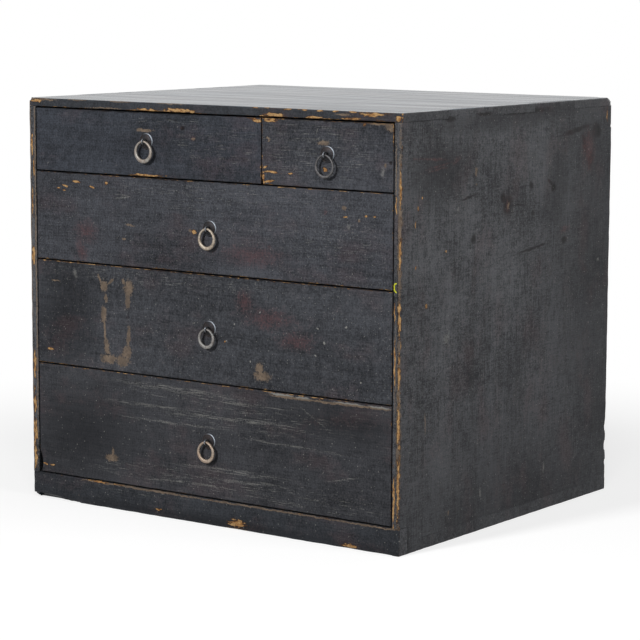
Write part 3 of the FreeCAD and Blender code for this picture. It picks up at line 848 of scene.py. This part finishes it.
RAIL_EDGES = {
    "front_top": Edge(0.7, 0.35, ((-142, -100, 0.6), (-60, 212, 0.42))),
    "front_bottom": Edge(1.8, 0.25, ((-62, -50, 0.6), (22, 49, 0.8), (149, 171, 0.6))),
    "front_left": Edge(2.2, 0.4),
    "front_right": Edge(1.6, 0.4),
    "back_bottom": SEAM,
    "back_top": SEAM,
}
RAIL_MARKS = {
    "bare": ((36, 6.1, 11.5, 4.2), (-128, 23.6, 9, 1.2), (-56, 7, 5, 1.6), (160, 2.5, 10, 2)),
    "residue": ((-118, 23.6, 34, 0.9), (-60, 23.4, 60, 1.0), (60, 23.5, 100, 0.8), (180, 23.5, 40, 0.8)),
    # painted shade along the rail's foot, by the floor
    "shade": ((0, 4, 210, 5),),
    "scuff": ((-80, 20, 60, 4),),
}
RAIL_SCOOPS = (
    Scoop((-215.5, -183.5, -2.5), (6.5, 7.5, 8.0)),
    Scoop((-213, -181, -4.0), (80, 9, 8.8)),
    Scoop((214.8, -183.0, -2), (5, 6, 5)),
)

BASE_EDGES = {"back_top": SEAM, "front_top": SEAM, "left_top": SEAM, "right_top": SEAM}
BACK_EDGE = Edge(0.5, 0.2)
FRONT_PLANE = Plane(0, 2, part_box("front_rail")[0].y)
RIGHT_PLANE = Plane(1, 2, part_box("right_side_board")[1].x)


def case_holes():
    """For each outer board, the boxes that other boards take out of it."""
    top, rail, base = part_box("top_board"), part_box("front_rail"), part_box("base_board")
    left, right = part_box("left_side_board"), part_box("right_side_board")
    underside = top[0].z
    pitch = (top[1].y - top[0].y) / TOP_FINGERS
    spans = [(top[0].y + i * pitch, top[0].y + (i + 1) * pitch, i % 2 == 0) for i in range(TOP_FINGERS)]
    backs = union("back_board_lower", "back_board_upper")
    holes = {name: [] for name in ("top_board", "left_side_board", "right_side_board", "base_board")}
    for name, side in (("left_side_board", left), ("right_side_board", right)):
        low_x, high_x = side[0].x, side[1].x
        for start, end, is_top in spans:
            owner = name if is_top else "top_board"
            holes[owner].append(((low_x, start, underside), (high_x, end, top[1].z)))
        holes[name].append(((low_x, rail[0].y, 0), (high_x, rail[1].y, rail[1].z)))
        foot_end = rail[1].y + FOOT_LENGTH
        holes[name].append(((low_x, foot_end, 0), (high_x, base[1].y, base[1].z)))
        holes["base_board"].append(((low_x, rail[1].y, 0), (high_x, foot_end, base[1].z)))
        holes[name].append(((backs[0].x, backs[0].y, base[1].z), (backs[1].x, backs[1].y, underside)))
        for shelf in ("shelf_upper", "shelf_middle", "shelf_lower"):
            holes[name].append(box_corners(shelf))
    holes["top_board"].append(box_corners("top_partition"))
    return holes


# ---------------------------------------------------------------- drawers
# The grey of each front, with painted shade worked in: darker on the bottom front and on the top left one,
# lighter on the second.
FRONT_GREYS = {
    "top_left": seen(68, 72, 80),
    "top_right": seen(76, 78, 84),
    "second": seen(79, 81, 87),
    "third": seen(76, 78, 83),
    "bottom": seen(70, 71, 75),
}
FRONT_MARKS = {
    "top_left": {
        "bare": ((-68, 315.8, 21, 1.0), (57, 370.4, 6.6, 2.2, -10)),
        "residue": ((-71, 356.6, 9.5, 1.6), (-13.7, 351, 2.4, 1.2)),
        "stain": ((-13.7, 352, 4, 3),),
        "scuff": ((-40, 365, 50, 5), (10, 345, 44, 20)),
        # the long dark mark is painted shadow in the gap along the upper edge; the small one is a dark spot
        "dark": ((-70, 372.6, 150, 0.9), (-26.3, 360, 2.6, 2.2)),
    },
    # chipped most of all at its lower left corner
    "top_right": {
        "bare": (
            (72.4, 371, 9, 1.6), (132, 330.2, 3.7, 2.6), (173.3, 371, 2.1, 1.8), (64.6, 320, 2.4, 6.4),
            (75, 325.6, 9.5, 1.2, -4), (67, 329.4, 3, 1.0, 30), (94.3, 325.1, 4, 0.9),
            (71, 317.6, 5.5, 1.4, 8),
        ),
        "residue": (
            (69.6, 355, 2.4, 1.1, -25), (71, 353.5, 2.0, 0.9, 35), (129.8, 353.5, 5.9, 1.8),
            (199.4, 369.4, 5, 3.6, -35), (188, 371.8, 10, 1.0), (195, 337, 1.5, 1.5),
        ),
        "scuff": ((120, 345, 60, 26),),
        "dust": ((122.8, 363.8, 0.8, 4.6, -20), (124, 357, 1.8, 0.9, 15), (192, 331, 2.6, 4.4)),
        # the long dark mark is painted shadow in the gap along the upper edge; the small one is a dark spot
        "dark": ((130, 372.6, 90, 0.9), (200.5, 340, 2.2, 1.5)),
    },
    # a row of chips near the upper left corner
    "second": {
        "bare": (
            (-153.9, 305.7, 6.2, 1.5, -8), (-117, 305.4, 2.4, 1.8), (-167.7, 300.8, 3.0, 1.0, -10),
            (-175.8, 298.4, 2.2, 1.0), (-134.2, 301.4, 3.0, 1.2), (-169, 297, 2.8, 0.9),
            (-13.5, 267.8, 2.9, 2.2), (153, 291.4, 2.2, 0.8), (175.5, 292.6, 2, 0.8),
            (184.3, 293, 2.2, 0.8),
        ),
        "residue": (
            (-88.3, 269, 5, 0.9, -3), (-95.7, 255.8, 2.4, 0.8), (-17.5, 267.8, 1.6, 1.4),
            (152.3, 298.3, 2.6, 1.6), (167.7, 288.4, 1.2, 1.2),
        ),
        "stain": (
            (-142.7, 259.5, 15.5, 12), (52, 250, 42, 11), (-148, 240, 8, 12), (132.2, 294, 2.7, 3.5),
            (71.4, 259.4, 2.8, 2.7),
        ),
        "scuff": ((20, 302, 120, 8), (-30, 290, 26, 8), (130, 272, 60, 22)),
        "scratch": ((-96, 295.4, 10, 0.8, -8), (-99, 293.4, 8, 0.8, 4)),
        "dust": ((157, 282.5, 1.6, 3, 20),),
        # painted shadow in the gap along the upper edge
        "dark": ((-100, 313.2, 180, 0.8),),
    },
    # the remains of two long labels at the left, and of a small one right of the ring
    "third": {
        "bare": ((-188, 145.2, 4.2, 1.6), (21.5, 170.5, 1.6, 1.6)),
        "residue": (
            (-121, 210, 4.6, 5.6), (-126, 216.5, 1.4, 4, 25), (-112.5, 215, 1.2, 4.6, -45),
            (-118.6, 199, 1.8, 4.5), (-121, 183, 3.2, 8), (-120, 167, 1.6, 13, 3), (-117.6, 152, 3.4, 8, 8),
            (-115.5, 142.4, 9, 4.6), (-98.5, 142, 8, 5), (-93.5, 150, 5, 7, -20), (-91.3, 165, 2.2, 10, -4),
            (-90.6, 210, 5.4, 7.6), (-92, 198, 3.0, 7), (-97, 216, 2, 3, 40), (63.5, 143.2, 9, 4.6),
            (60.5, 150, 4.2, 5.4), (-181.5, 211, 5.1, 0.8),
        ),
        "stain": ((-92, 183.4, 1.8, 2.2), (72, 195, 33, 10), (44, 208, 10, 12), (100, 178, 20, 10)),
        # painted shade: the left end darker
        "shade": ((-170, 178, 40, 56),),
        "scuff": ((-60, 222, 130, 7),),
        "dust": ((-156.3, 219.4, 2.4, 6, 15),),
        "fleck": (
            (61, 200.6, 1.0, 0.7, 20), (32.3, 187.8, 0.7, 1.0), (124.3, 191.8, 1.6, 0.7, -20),
            (155, 195.3, 1.4, 0.8), (131.6, 179.4, 0.9, 1.5, 30), (121.7, 167.3, 1.2, 0.6, -30),
            (50.8, 155.6, 0.8, 1.0), (23.6, 171.4, 0.8, 0.7), (170.8, 148.2, 0.9, 1.2),
            (-13.7, 185, 0.7, 0.7),
        ),
        # painted shadow in the gap along the upper edge
        "dark": ((0, 229.4, 230, 0.7),),
    },
    # long pale scrapes, and a dry pale line along its upper edge
    "bottom": {
        "bare": ((-196, 33.4, 3.2, 1.0), (-187, 33.2, 3.2, 1.0)),
        "residue": (
            (150, 127.4, 60, 1.1, 0.4), (92, 127.6, 20, 1.2), (-113, 48.6, 7, 3.6), (-111.6, 54, 1.4, 4.4),
        ),
        # painted shade at the left and at the right
        "shade": ((-150, 70, 70, 40), (150, 110, 60, 20)),
        "scuff": (
            (-30, 118, 60, 6), (60, 104, 80, 14), (20, 96, 60, 4), (-20, 40, 110, 9), (100, 38, 90, 9),
        ),
        "scratch": (
            (-30, 121.6, 70, 2.4, -1), (40, 116, 50, 1.2), (-62, 103.4, 50, 1.6), (22, 100.6, 60, 2.2, 1),
            (-40, 90, 60, 1.2), (30, 52.6, 54, 2.4), (44, 45, 40, 1.6, 1), (-10, 36, 60, 1.2),
            (100, 84, 50, 1.0, -1), (150, 60, 20, 0.8, 12), (120, 112, 16, 0.8, -30),
        ),
        "fleck": ((84, 129.2, 14, 1.1), (108, 128.4, 8, 1.2), (158, 128.6, 16, 0.9), (190, 128.6, 12, 0.9)),
        # painted shadow in the hollow of the chipped lower left corner
        "dark": ((-201.5, 36, 2.4, 9),),
    },
}
FRONT_EDGES = {
    "top_left": {
        "front_bottom": Edge(0.7, 0.35, ((-90, -46, 0.75), (30, 62, 0.6))),
        "front_top": Edge(0.7, 0.25, ((48, 63, 0.8),)),
        "front_right": Edge(0.6, 0.35, ((315, 330, 0.7), (360, 373, 0.6))),
    },
    "top_right": {
        "front_top": Edge(0.8, 0.4, ((63, 86, 0.8), (168, 203, 0.7))),
        "front_bottom": Edge(0.7, 0.42, ((63, 76, 0.85),)),
        "front_left": Edge(0.9, 0.6, ((314, 328, 0.95),)),
        "front_right": Edge(0.8, 0.4, ((355, 373, 0.85),)),
    },
    "second": {
        "front_top": Edge(0.7, 0.48, ((80, 200, 0.6),)),
        "front_bottom": Edge(0.7, 0.5, ((-203, -137, 0.68), (40, 203, 0.6))),
    },
    "third": {
        "front_top": Edge(0.7, 0.54, ((-203, -120, 0.62), (90, 203, 0.6))),
        "front_bottom": Edge(0.7, 0.46, ((-203, -150, 0.7), (60, 203, 0.5))),
    },
    "bottom": {
        "front_top": Edge(
            0.9, 0.55, ((-203, -120, 0.64), (70, 100, 0.75), (100, 150, 0.62), (150, 203, 0.52))
        ),
        "front_bottom": Edge(0.8, 0.3),
        "front_left": Edge(1.0, 0.4, ((26, 42, 0.5),)),
    },
}
FRONT_SCOOPS = {
    "bottom": (Scoop((-206.5, -181, 34), (7.5, 8, 13)),),
    "top_right": (Scoop((61.6, -181.0, 316), (3.6, 4, 5)),),
}
HIDDEN_EDGE = Edge(0.4, 0.0)
FRONT_EDGE = Edge(0.7, 0.4)


def drawer_body(drawer):
    """The body that carries a drawer."""
    return drawer + "_drawer"


def drawer_node(drawer, part):
    """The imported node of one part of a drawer."""
    return drawer + "_drawer_" + part


# ---------------------------------------------------------------- pulls
RingForm = namedtuple("RingForm", "top_bar bottom_bar shoulder tint rust")
"""Bar thickness in mm at the top and the bottom, how far the top is drawn in, its colour and its rust."""

RINGS = {
    "top_left": RingForm(2.2, 3.8, 0.10, seen(150, 146, 140), 0.25),
    "top_right": RingForm(1.6, 2.6, 0.06, seen(92, 92, 94), 0.05),
    "second": RingForm(2.1, 3.6, 0.12, seen(172, 162, 148), 0.2),
    "third": RingForm(2.1, 3.4, 0.06, seen(138, 137, 135), 0.1),
    "bottom": RingForm(2.1, 3.6, 0.12, seen(172, 157, 142), 0.3),
}
RING_STEPS = 96
BAR_STEPS = 24
BAR_SQUARE = 2.4  # 2 makes a round bar, and more a squarer one


def egg(turn, width, height, bottom, shoulder):
    """A point of an upright egg, where turn goes round it from its top."""
    half = width / 2
    across, up = math.sin(turn), math.cos(turn)
    if up > 0:
        return half * across * (1 - shoulder * up * up), bottom + half + (height - half) * up
    return half * across, bottom + half + half * up


def ring_mesh(box, form, seed):
    """Points and quads of a forged ring that fills its imported box."""
    width, depth, height = (box[1] - box[0])
    middle_x, middle_y = (box[0].x + box[1].x) / 2, (box[0].y + box[1].y) / 2
    top_bar, bottom_bar = form.top_bar * MM, form.bottom_bar * MM
    side_bar = (top_bar + bottom_bar) / 2
    points, faces = [], []
    for i in range(RING_STEPS):
        turn = 2 * math.pi * i / RING_STEPS
        outer = Vector(egg(turn, width, height, box[0].z, form.shoulder))
        inner = Vector(egg(
            turn, width - 2 * side_bar, height - top_bar - bottom_bar, box[0].z + bottom_bar, form.shoulder
        ))
        middle, half = (outer + inner) / 2, (outer - inner) / 2
        hammer = 1 - 0.07 * (0.5 + 0.5 * noise.noise(Vector((i * 0.16, seed * 3.1, 0))))
        for k in range(BAR_STEPS):
            round_bar = 2 * math.pi * k / BAR_STEPS
            out, side = math.cos(round_bar), math.sin(round_bar)
            square = (abs(out) ** BAR_SQUARE + abs(side) ** BAR_SQUARE) ** (-1 / BAR_SQUARE) * hammer
            dent = 1 - 0.05 * max(0, noise.noise(Vector((i * 0.5, k * 0.6, seed))))
            flat = middle + half * out * square * dent
            points.append((middle_x + flat.x, middle_y + depth / 2 * side * square * dent, flat.y))
            j = (i + 1) % RING_STEPS
            m = (k + 1) % BAR_STEPS
            faces.append((i * BAR_STEPS + k, i * BAR_STEPS + m, j * BAR_STEPS + m, j * BAR_STEPS + k))
    return points, faces


ROSETTE_STEPS = 64
ROSETTE_PROFILE = (
    (1.5, 0.0), (1.5, 0.9), (1.55, 1.32), (1.8, 1.46), (2.4, 1.44), (3.4, 1.30), (4.4, 1.08), (5.4, 0.78),
    (6.1, 0.56), (6.4, 0.50), (6.65, 0.62), (6.9, 0.68), (7.15, 0.60), (7.35, 0.42), (7.46, 0.2), (7.5, 0.0),
)
"""Half of the rosette's section: mm from its middle, and mm in front of the drawer."""
ROSETTE_WIDTH = 15  # mm, of the section above
ROSETTE_HIGHLIGHT_RIM = 6.5  # from here outwards the rosette's rim takes a painted highlight
ROSETTE_HIGHLIGHT_TURN = math.radians(35)  # the direction of the painted highlight's brightest place, from +X towards +Z


def rosette_mesh(box, seed):
    """A thin domed washer turned round the pin's axis, and how much painted highlight each of its points
    takes.
    """
    middle = (box[0] + box[1]) / 2
    back = box[1].y
    size = (box[1].x - box[0].x) / ROSETTE_WIDTH / MM
    points, faces, rubbed = [], [], []
    count = len(ROSETTE_PROFILE)
    for i in range(ROSETTE_STEPS):
        turn = 2 * math.pi * i / ROSETTE_STEPS
        for k, (out, height) in enumerate(ROSETTE_PROFILE):
            across, up = math.cos(turn) * out, math.sin(turn) * out
            dent = 1 - 0.08 * max(0, noise.noise(Vector((across, up, seed * 2.3))))
            points.append((
                middle.x + across * MM * size, back - height * MM * dent, middle.z + up * MM * size,
            ))
            # painted highlight: the rim is brightest towards the upper right
            side = max(0.0, math.cos(turn - ROSETTE_HIGHLIGHT_TURN))
            rubbed.append(side ** 1.5 if out > ROSETTE_HIGHLIGHT_RIM else 0.0)
            j = (i + 1) % ROSETTE_STEPS
            m = (k + 1) % count
            faces.append((i * count + k, j * count + k, j * count + m, i * count + m))
    return points, faces, rubbed


# ---------------------------------------------------------------- operators
Lamp = namedtuple("Lamp", "size place")
"""A square lamp's size and its place, in metres."""

LAMPS = {
    "key": Lamp(0.3, (-0.25, -2.1, 1.2)),
    "fill": Lamp(1.6, (2.5, -0.05, 1.0)),
    "glint": Lamp(0.25, (0.7, -1.05, 1.8)),
    "back": Lamp(1.2, (0.3, 2.4, 0.9)),
}
LAMPS_AIM = Vector((0, 0, 0.19))  # the middle of the chest
FLOOR_HALF = 8.0  # from the floor's middle to its sides, in metres
FLOOR_LIFT = 0.68  # how brightly the floor glows for the camera
SENSOR_WIDTH = 36  # mm
HORIZON = (0.36, 0.8)  # where the floor goes over to plain white, in metres from its middle
WHITE = (1, 1, 1, 1)


class TANSU_OT_stage(bpy.types.Operator):
    """Floor, surroundings, four soft lamps and the camera"""

    bl_idname = "tansu.stage"
    bl_label = "Stage"

    def execute(self, context):
        stage = context.scene.tansu_stage
        self.floor(context.scene.tansu_colours.floor)
        self.surroundings(context, stage)
        for name, lamp in LAMPS.items():
            self.lamp(name + "_lamp", getattr(stage, name), lamp)
        self.camera(context, stage)
        context.scene.view_settings.view_transform = "Standard"
        return {"FINISHED"}

    def floor(self, tint):
        """A plain floor that takes the chest's shadow and goes over to white around it."""
        f = Finish("floor_finish")
        f.surface.inputs["Roughness"].default_value = 0.9
        f.surface.inputs["Specular IOR Level"].default_value = 0.0
        f.feed(f.surface.inputs["Base Color"], f.blend(f.noise(f.place(), 400), dimmed(tint, 0.98), tint))
        watched = f.watched()
        lift = f.times(watched, FLOOR_LIFT)
        lift = f.node("ShaderNodeEmission", {"Color": WHITE, "Strength": lift}).outputs[0]
        lit = f.node("ShaderNodeAddShader", {0: f.surface.outputs[0], 1: lift}).outputs[0]
        far = f.node("ShaderNodeEmission", {"Color": WHITE, "Strength": 1.0}).outputs[0]
        away = f.node("ShaderNodeVectorMath", {0: f.place()}, operation="LENGTH").outputs["Value"]
        horizon = f.times(f.step(away, *HORIZON), watched)
        shown = f.node("ShaderNodeMixShader", {0: horizon, 1: lit, 2: far}).outputs[0]
        f.feed(f.output.inputs["Surface"], shown)
        corners = [(x * FLOOR_HALF, y * FLOOR_HALF, 0) for x, y in ((-1, -1), (1, -1), (1, 1), (-1, 1))]
        mesh = bpy.data.meshes.new("floor")
        mesh.from_pydata(corners, [], [(0, 1, 2, 3)])
        mesh.materials.append(f.material)
        floor = bpy.data.objects.new("floor", mesh)
        bpy.context.scene.collection.objects.link(floor)

    def surroundings(self, context, stage):
        """Even light from all round, which the camera sees as white."""
        world = bpy.data.worlds.new("surroundings")
        context.scene.world = world
        world.use_nodes = True
        w = Nodes(world.node_tree)
        light = w.node("ShaderNodeBackground", {"Color": WHITE, "Strength": stage.surroundings}).outputs[0]
        white = w.node("ShaderNodeBackground", {"Color": WHITE}).outputs[0]
        mix = w.node("ShaderNodeMixShader", {0: w.watched(), 1: light, 2: white}).outputs[0]
        w.node("ShaderNodeOutputWorld", {"Surface": mix})

    def lamp(self, name, power, lamp):
        """A soft square lamp that shines on the chest."""
        light = bpy.data.lights.new(name, "AREA")
        light.energy = power
        light.size = lamp.size
        holder = bpy.data.objects.new(name, light)
        holder.location = lamp.place
        holder.rotation_euler = (LAMPS_AIM - Vector(lamp.place)).to_track_quat("-Z", "Y").to_euler()
        bpy.context.scene.collection.objects.link(holder)

    def camera(self, context, stage):
        """The camera, turned round the point that it looks at."""
        turn, rise = stage.azimuth, stage.elevation
        back = Vector((math.sin(turn) * math.cos(rise), -math.cos(turn) * math.cos(rise), math.sin(rise)))
        aim = Vector((stage.aim_across * math.cos(turn), stage.aim_across * math.sin(turn), stage.aim_height))
        right = Vector((math.cos(turn), math.sin(turn), 0))
        up = back.cross(right)
        leaned_right = right * math.cos(stage.roll) + up * math.sin(stage.roll)
        leaned_up = up * math.cos(stage.roll) - right * math.sin(stage.roll)
        lens = bpy.data.cameras.new("camera")
        lens.sensor_width = SENSOR_WIDTH
        lens.lens = stage.lens
        lens.clip_start = 0.05
        camera = bpy.data.objects.new("camera", lens)
        turned = Matrix((leaned_right, leaned_up, back)).transposed()
        camera.matrix_world = Matrix.Translation(aim + back * stage.distance) @ turned.to_4x4()
        context.scene.collection.objects.link(camera)
        context.scene.camera = camera


class TANSU_OT_case(bpy.types.Operator):
    """The lacquered boards of the case: top, sides, base, rail and back"""

    bl_idname = "tansu.case"
    bl_label = "Case"

    def execute(self, context):
        tints = context.scene.tansu_colours
        holes = case_holes()
        grey, upper = tints.side_faded, tints.top_faded_and_reflection
        side_ends = Ends(2, 3, grey)
        # painted shade: the ends of the top board and of the base board, at the top and the foot of the side
        # faces, take a darker copy of the side's grey
        shaded_ends = Ends(2, 3, dimmed(grey, 0.7))
        top_marks = ((FRONT_PLANE, TOP_MARKS),)
        left_marks = ((FRONT_PLANE, LEFT_MARKS),)
        right_marks = ((RIGHT_PLANE, RIGHT_FACE_MARKS), (FRONT_PLANE, RIGHT_FRONT_MARKS))
        rail_marks = ((FRONT_PLANE, RAIL_MARKS),)
        top = lacquer("top_lacquer", 0, 1, top_marks, upper=upper, ends=shaded_ends, gloss=0.36, level=0.1,
                      streaks=0.45)
        left = lacquer("left_lacquer", 2, 2, left_marks, grey, upper, level=0.1, streaks=1.3, spread=0.12)
        right = lacquer("right_lacquer", 2, 3, right_marks, grey, upper, wiped=0.1, level=0.08,
                        blotches=0.35, streaks=1.3, spread=0.12)
        base = lacquer("base_lacquer", 0, 4, faded=grey, ends=shaded_ends)
        rail = lacquer("rail_lacquer", 0, 5, rail_marks, ends=side_ends)
        board("top_board", "case", top, holes["top_board"], TOP_EDGES, scoops=TOP_SCOOPS, reach=1.7)
        board("left_side_board", "case", left, holes["left_side_board"], LEFT_EDGES, scoops=LEFT_SCOOPS)
        board("right_side_board", "case", right, holes["right_side_board"], RIGHT_EDGES, scoops=RIGHT_SCOOPS)
        board("base_board", "case", base, holes["base_board"], BASE_EDGES)
        board("front_rail", "case", rail, edges=RAIL_EDGES, scoops=RAIL_SCOOPS)
        for number, height in enumerate(("lower", "middle", "upper")):
            back = lacquer("back_lacquer_" + height, 0, 6 + number)
            board("back_board_" + height, "case", back, plain=BACK_EDGE)
        return {"FINISHED"}


class TANSU_OT_inside(bpy.types.Operator):
    """The plain boards inside: shelves, partition, runners and the drawer boxes"""

    bl_idname = "tansu.inside"
    bl_label = "Inside"

    def execute(self, context):
        woods = {axis: softwood("softwood_" + "xyz"[axis], axis, axis + 1) for axis in range(3)}
        parts = ["shelf_upper", "shelf_middle", "shelf_lower", "top_partition", "bottom_runners"]
        for drawer in DRAWERS:
            parts += [drawer_node(drawer, part) for part in ("left_side", "right_side", "back", "bottom")]
        for node in parts:
            low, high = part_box(node)
            size = high - low
            finish_node(node, woods[max(range(3), key=lambda axis: size[axis])])
        return {"FINISHED"}


class TANSU_OT_pegs(bpy.types.Operator):
    """The wooden pegs"""

    bl_idname = "tansu.pegs"
    bl_label = "Pegs"

    def execute(self, context):
        wood = peg_wood()
        for node in ["case_pegs", "back_pegs"] + [drawer_node(drawer, "pegs") for drawer in DRAWERS]:
            finish_node(node, wood)
        return {"FINISHED"}


class TANSU_OT_fronts(bpy.types.Operator):
    """The lacquered drawer fronts"""

    bl_idname = "tansu.fronts"
    bl_label = "Drawer fronts"

    def execute(self, context):
        for number, drawer in enumerate(DRAWERS):
            holes = [box_corners(drawer_node(drawer, part)) for part in ("left_side", "right_side", "bottom")]
            edges = {name: HIDDEN_EDGE for name, *_ in box_edges() if "back" in name}
            edges.update(FRONT_EDGES[drawer])
            marks = ((FRONT_PLANE, FRONT_MARKS[drawer]),)
            finish = lacquer(drawer + "_lacquer", 0, 10 + number, marks, FRONT_GREYS[drawer])
            board(drawer_node(drawer, "front"), drawer_body(drawer), finish, holes, edges,
                  plain=FRONT_EDGE, scoops=FRONT_SCOOPS.get(drawer, ()), reach=1.1)
        return {"FINISHED"}


class TANSU_OT_pulls(bpy.types.Operator):
    """The iron pulls: rosette, eye pin and ring of each drawer"""

    bl_idname = "tansu.pulls"
    bl_label = "Pulls"

    def execute(self, context):
        # the rosettes' iron: dark, with a bluish painted highlight on the rim
        dark = forged_iron("dark_iron", seen(34, 35, 39), 0.05, 3, gloss=0.34, rim=seen(140, 146, 154))
        bright = forged_iron("pin_iron", seen(120, 124, 130), 0.05, 4, gloss=0.2)
        for number, drawer in enumerate(DRAWERS):
            ring, rosette = drawer_node(drawer, "ring"), drawer_node(drawer, "rosette")
            form = RINGS[drawer]
            iron = forged_iron(drawer + "_ring_iron", form.tint, form.rust, number + 5)
            points, faces = ring_mesh(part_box(ring), form, number)
            new_piece(ring, "_forged", points, faces, drawer + "_pull_ring", iron, None, 80)
            points, faces, rubbed = rosette_mesh(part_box(rosette), number)
            new_piece(rosette, "_domed", points, faces, drawer_body(drawer), dark, rubbed, 60)
            finish_node(drawer_node(drawer, "eye_pin"), bright)
        return {"FINISHED"}


def finish_node(node, material):
    """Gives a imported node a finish, and leaves its shape alone."""
    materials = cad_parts[node].data.materials
    materials.clear()
    materials.append(material)


class TANSU_PT_panel(bpy.types.Panel):
    """The chest's colours, wear, stage and operators"""

    bl_label = "Small Tansu Chest"
    bl_idname = "TANSU_PT_panel"
    bl_space_type = "VIEW_3D"
    bl_region_type = "UI"
    bl_category = "Tansu"

    def draw(self, context):
        for title, group in zip(("Colours", "Wear", "Stage"), GROUPS):
            settings = getattr(context.scene, group)
            box = self.layout.box()
            box.label(text=title)
            for name in settings.__annotations__:
                box.prop(settings, name)
        for step in STEPS:
            self.layout.operator(step.bl_idname)


GROUPS = {"tansu_colours": TansuColours, "tansu_wear": TansuWear, "tansu_stage": TansuStage}
STEPS = (TANSU_OT_stage, TANSU_OT_case, TANSU_OT_inside, TANSU_OT_pegs, TANSU_OT_fronts, TANSU_OT_pulls)
CLASSES = (*GROUPS.values(), *STEPS, TANSU_PT_panel)


def register():
    for kind in CLASSES:
        bpy.utils.register_class(kind)
    for name, kind in GROUPS.items():
        setattr(bpy.types.Scene, name, PointerProperty(type=kind))


def unregister():
    for name in GROUPS:
        delattr(bpy.types.Scene, name)
    for kind in reversed(CLASSES):
        bpy.utils.unregister_class(kind)


def main():
    register()
    bpy.ops.tansu.stage()
    bpy.ops.tansu.case()
    bpy.ops.tansu.inside()
    bpy.ops.tansu.pegs()
    bpy.ops.tansu.fronts()
    bpy.ops.tansu.pulls()


if __name__ == "__main__":
    main()
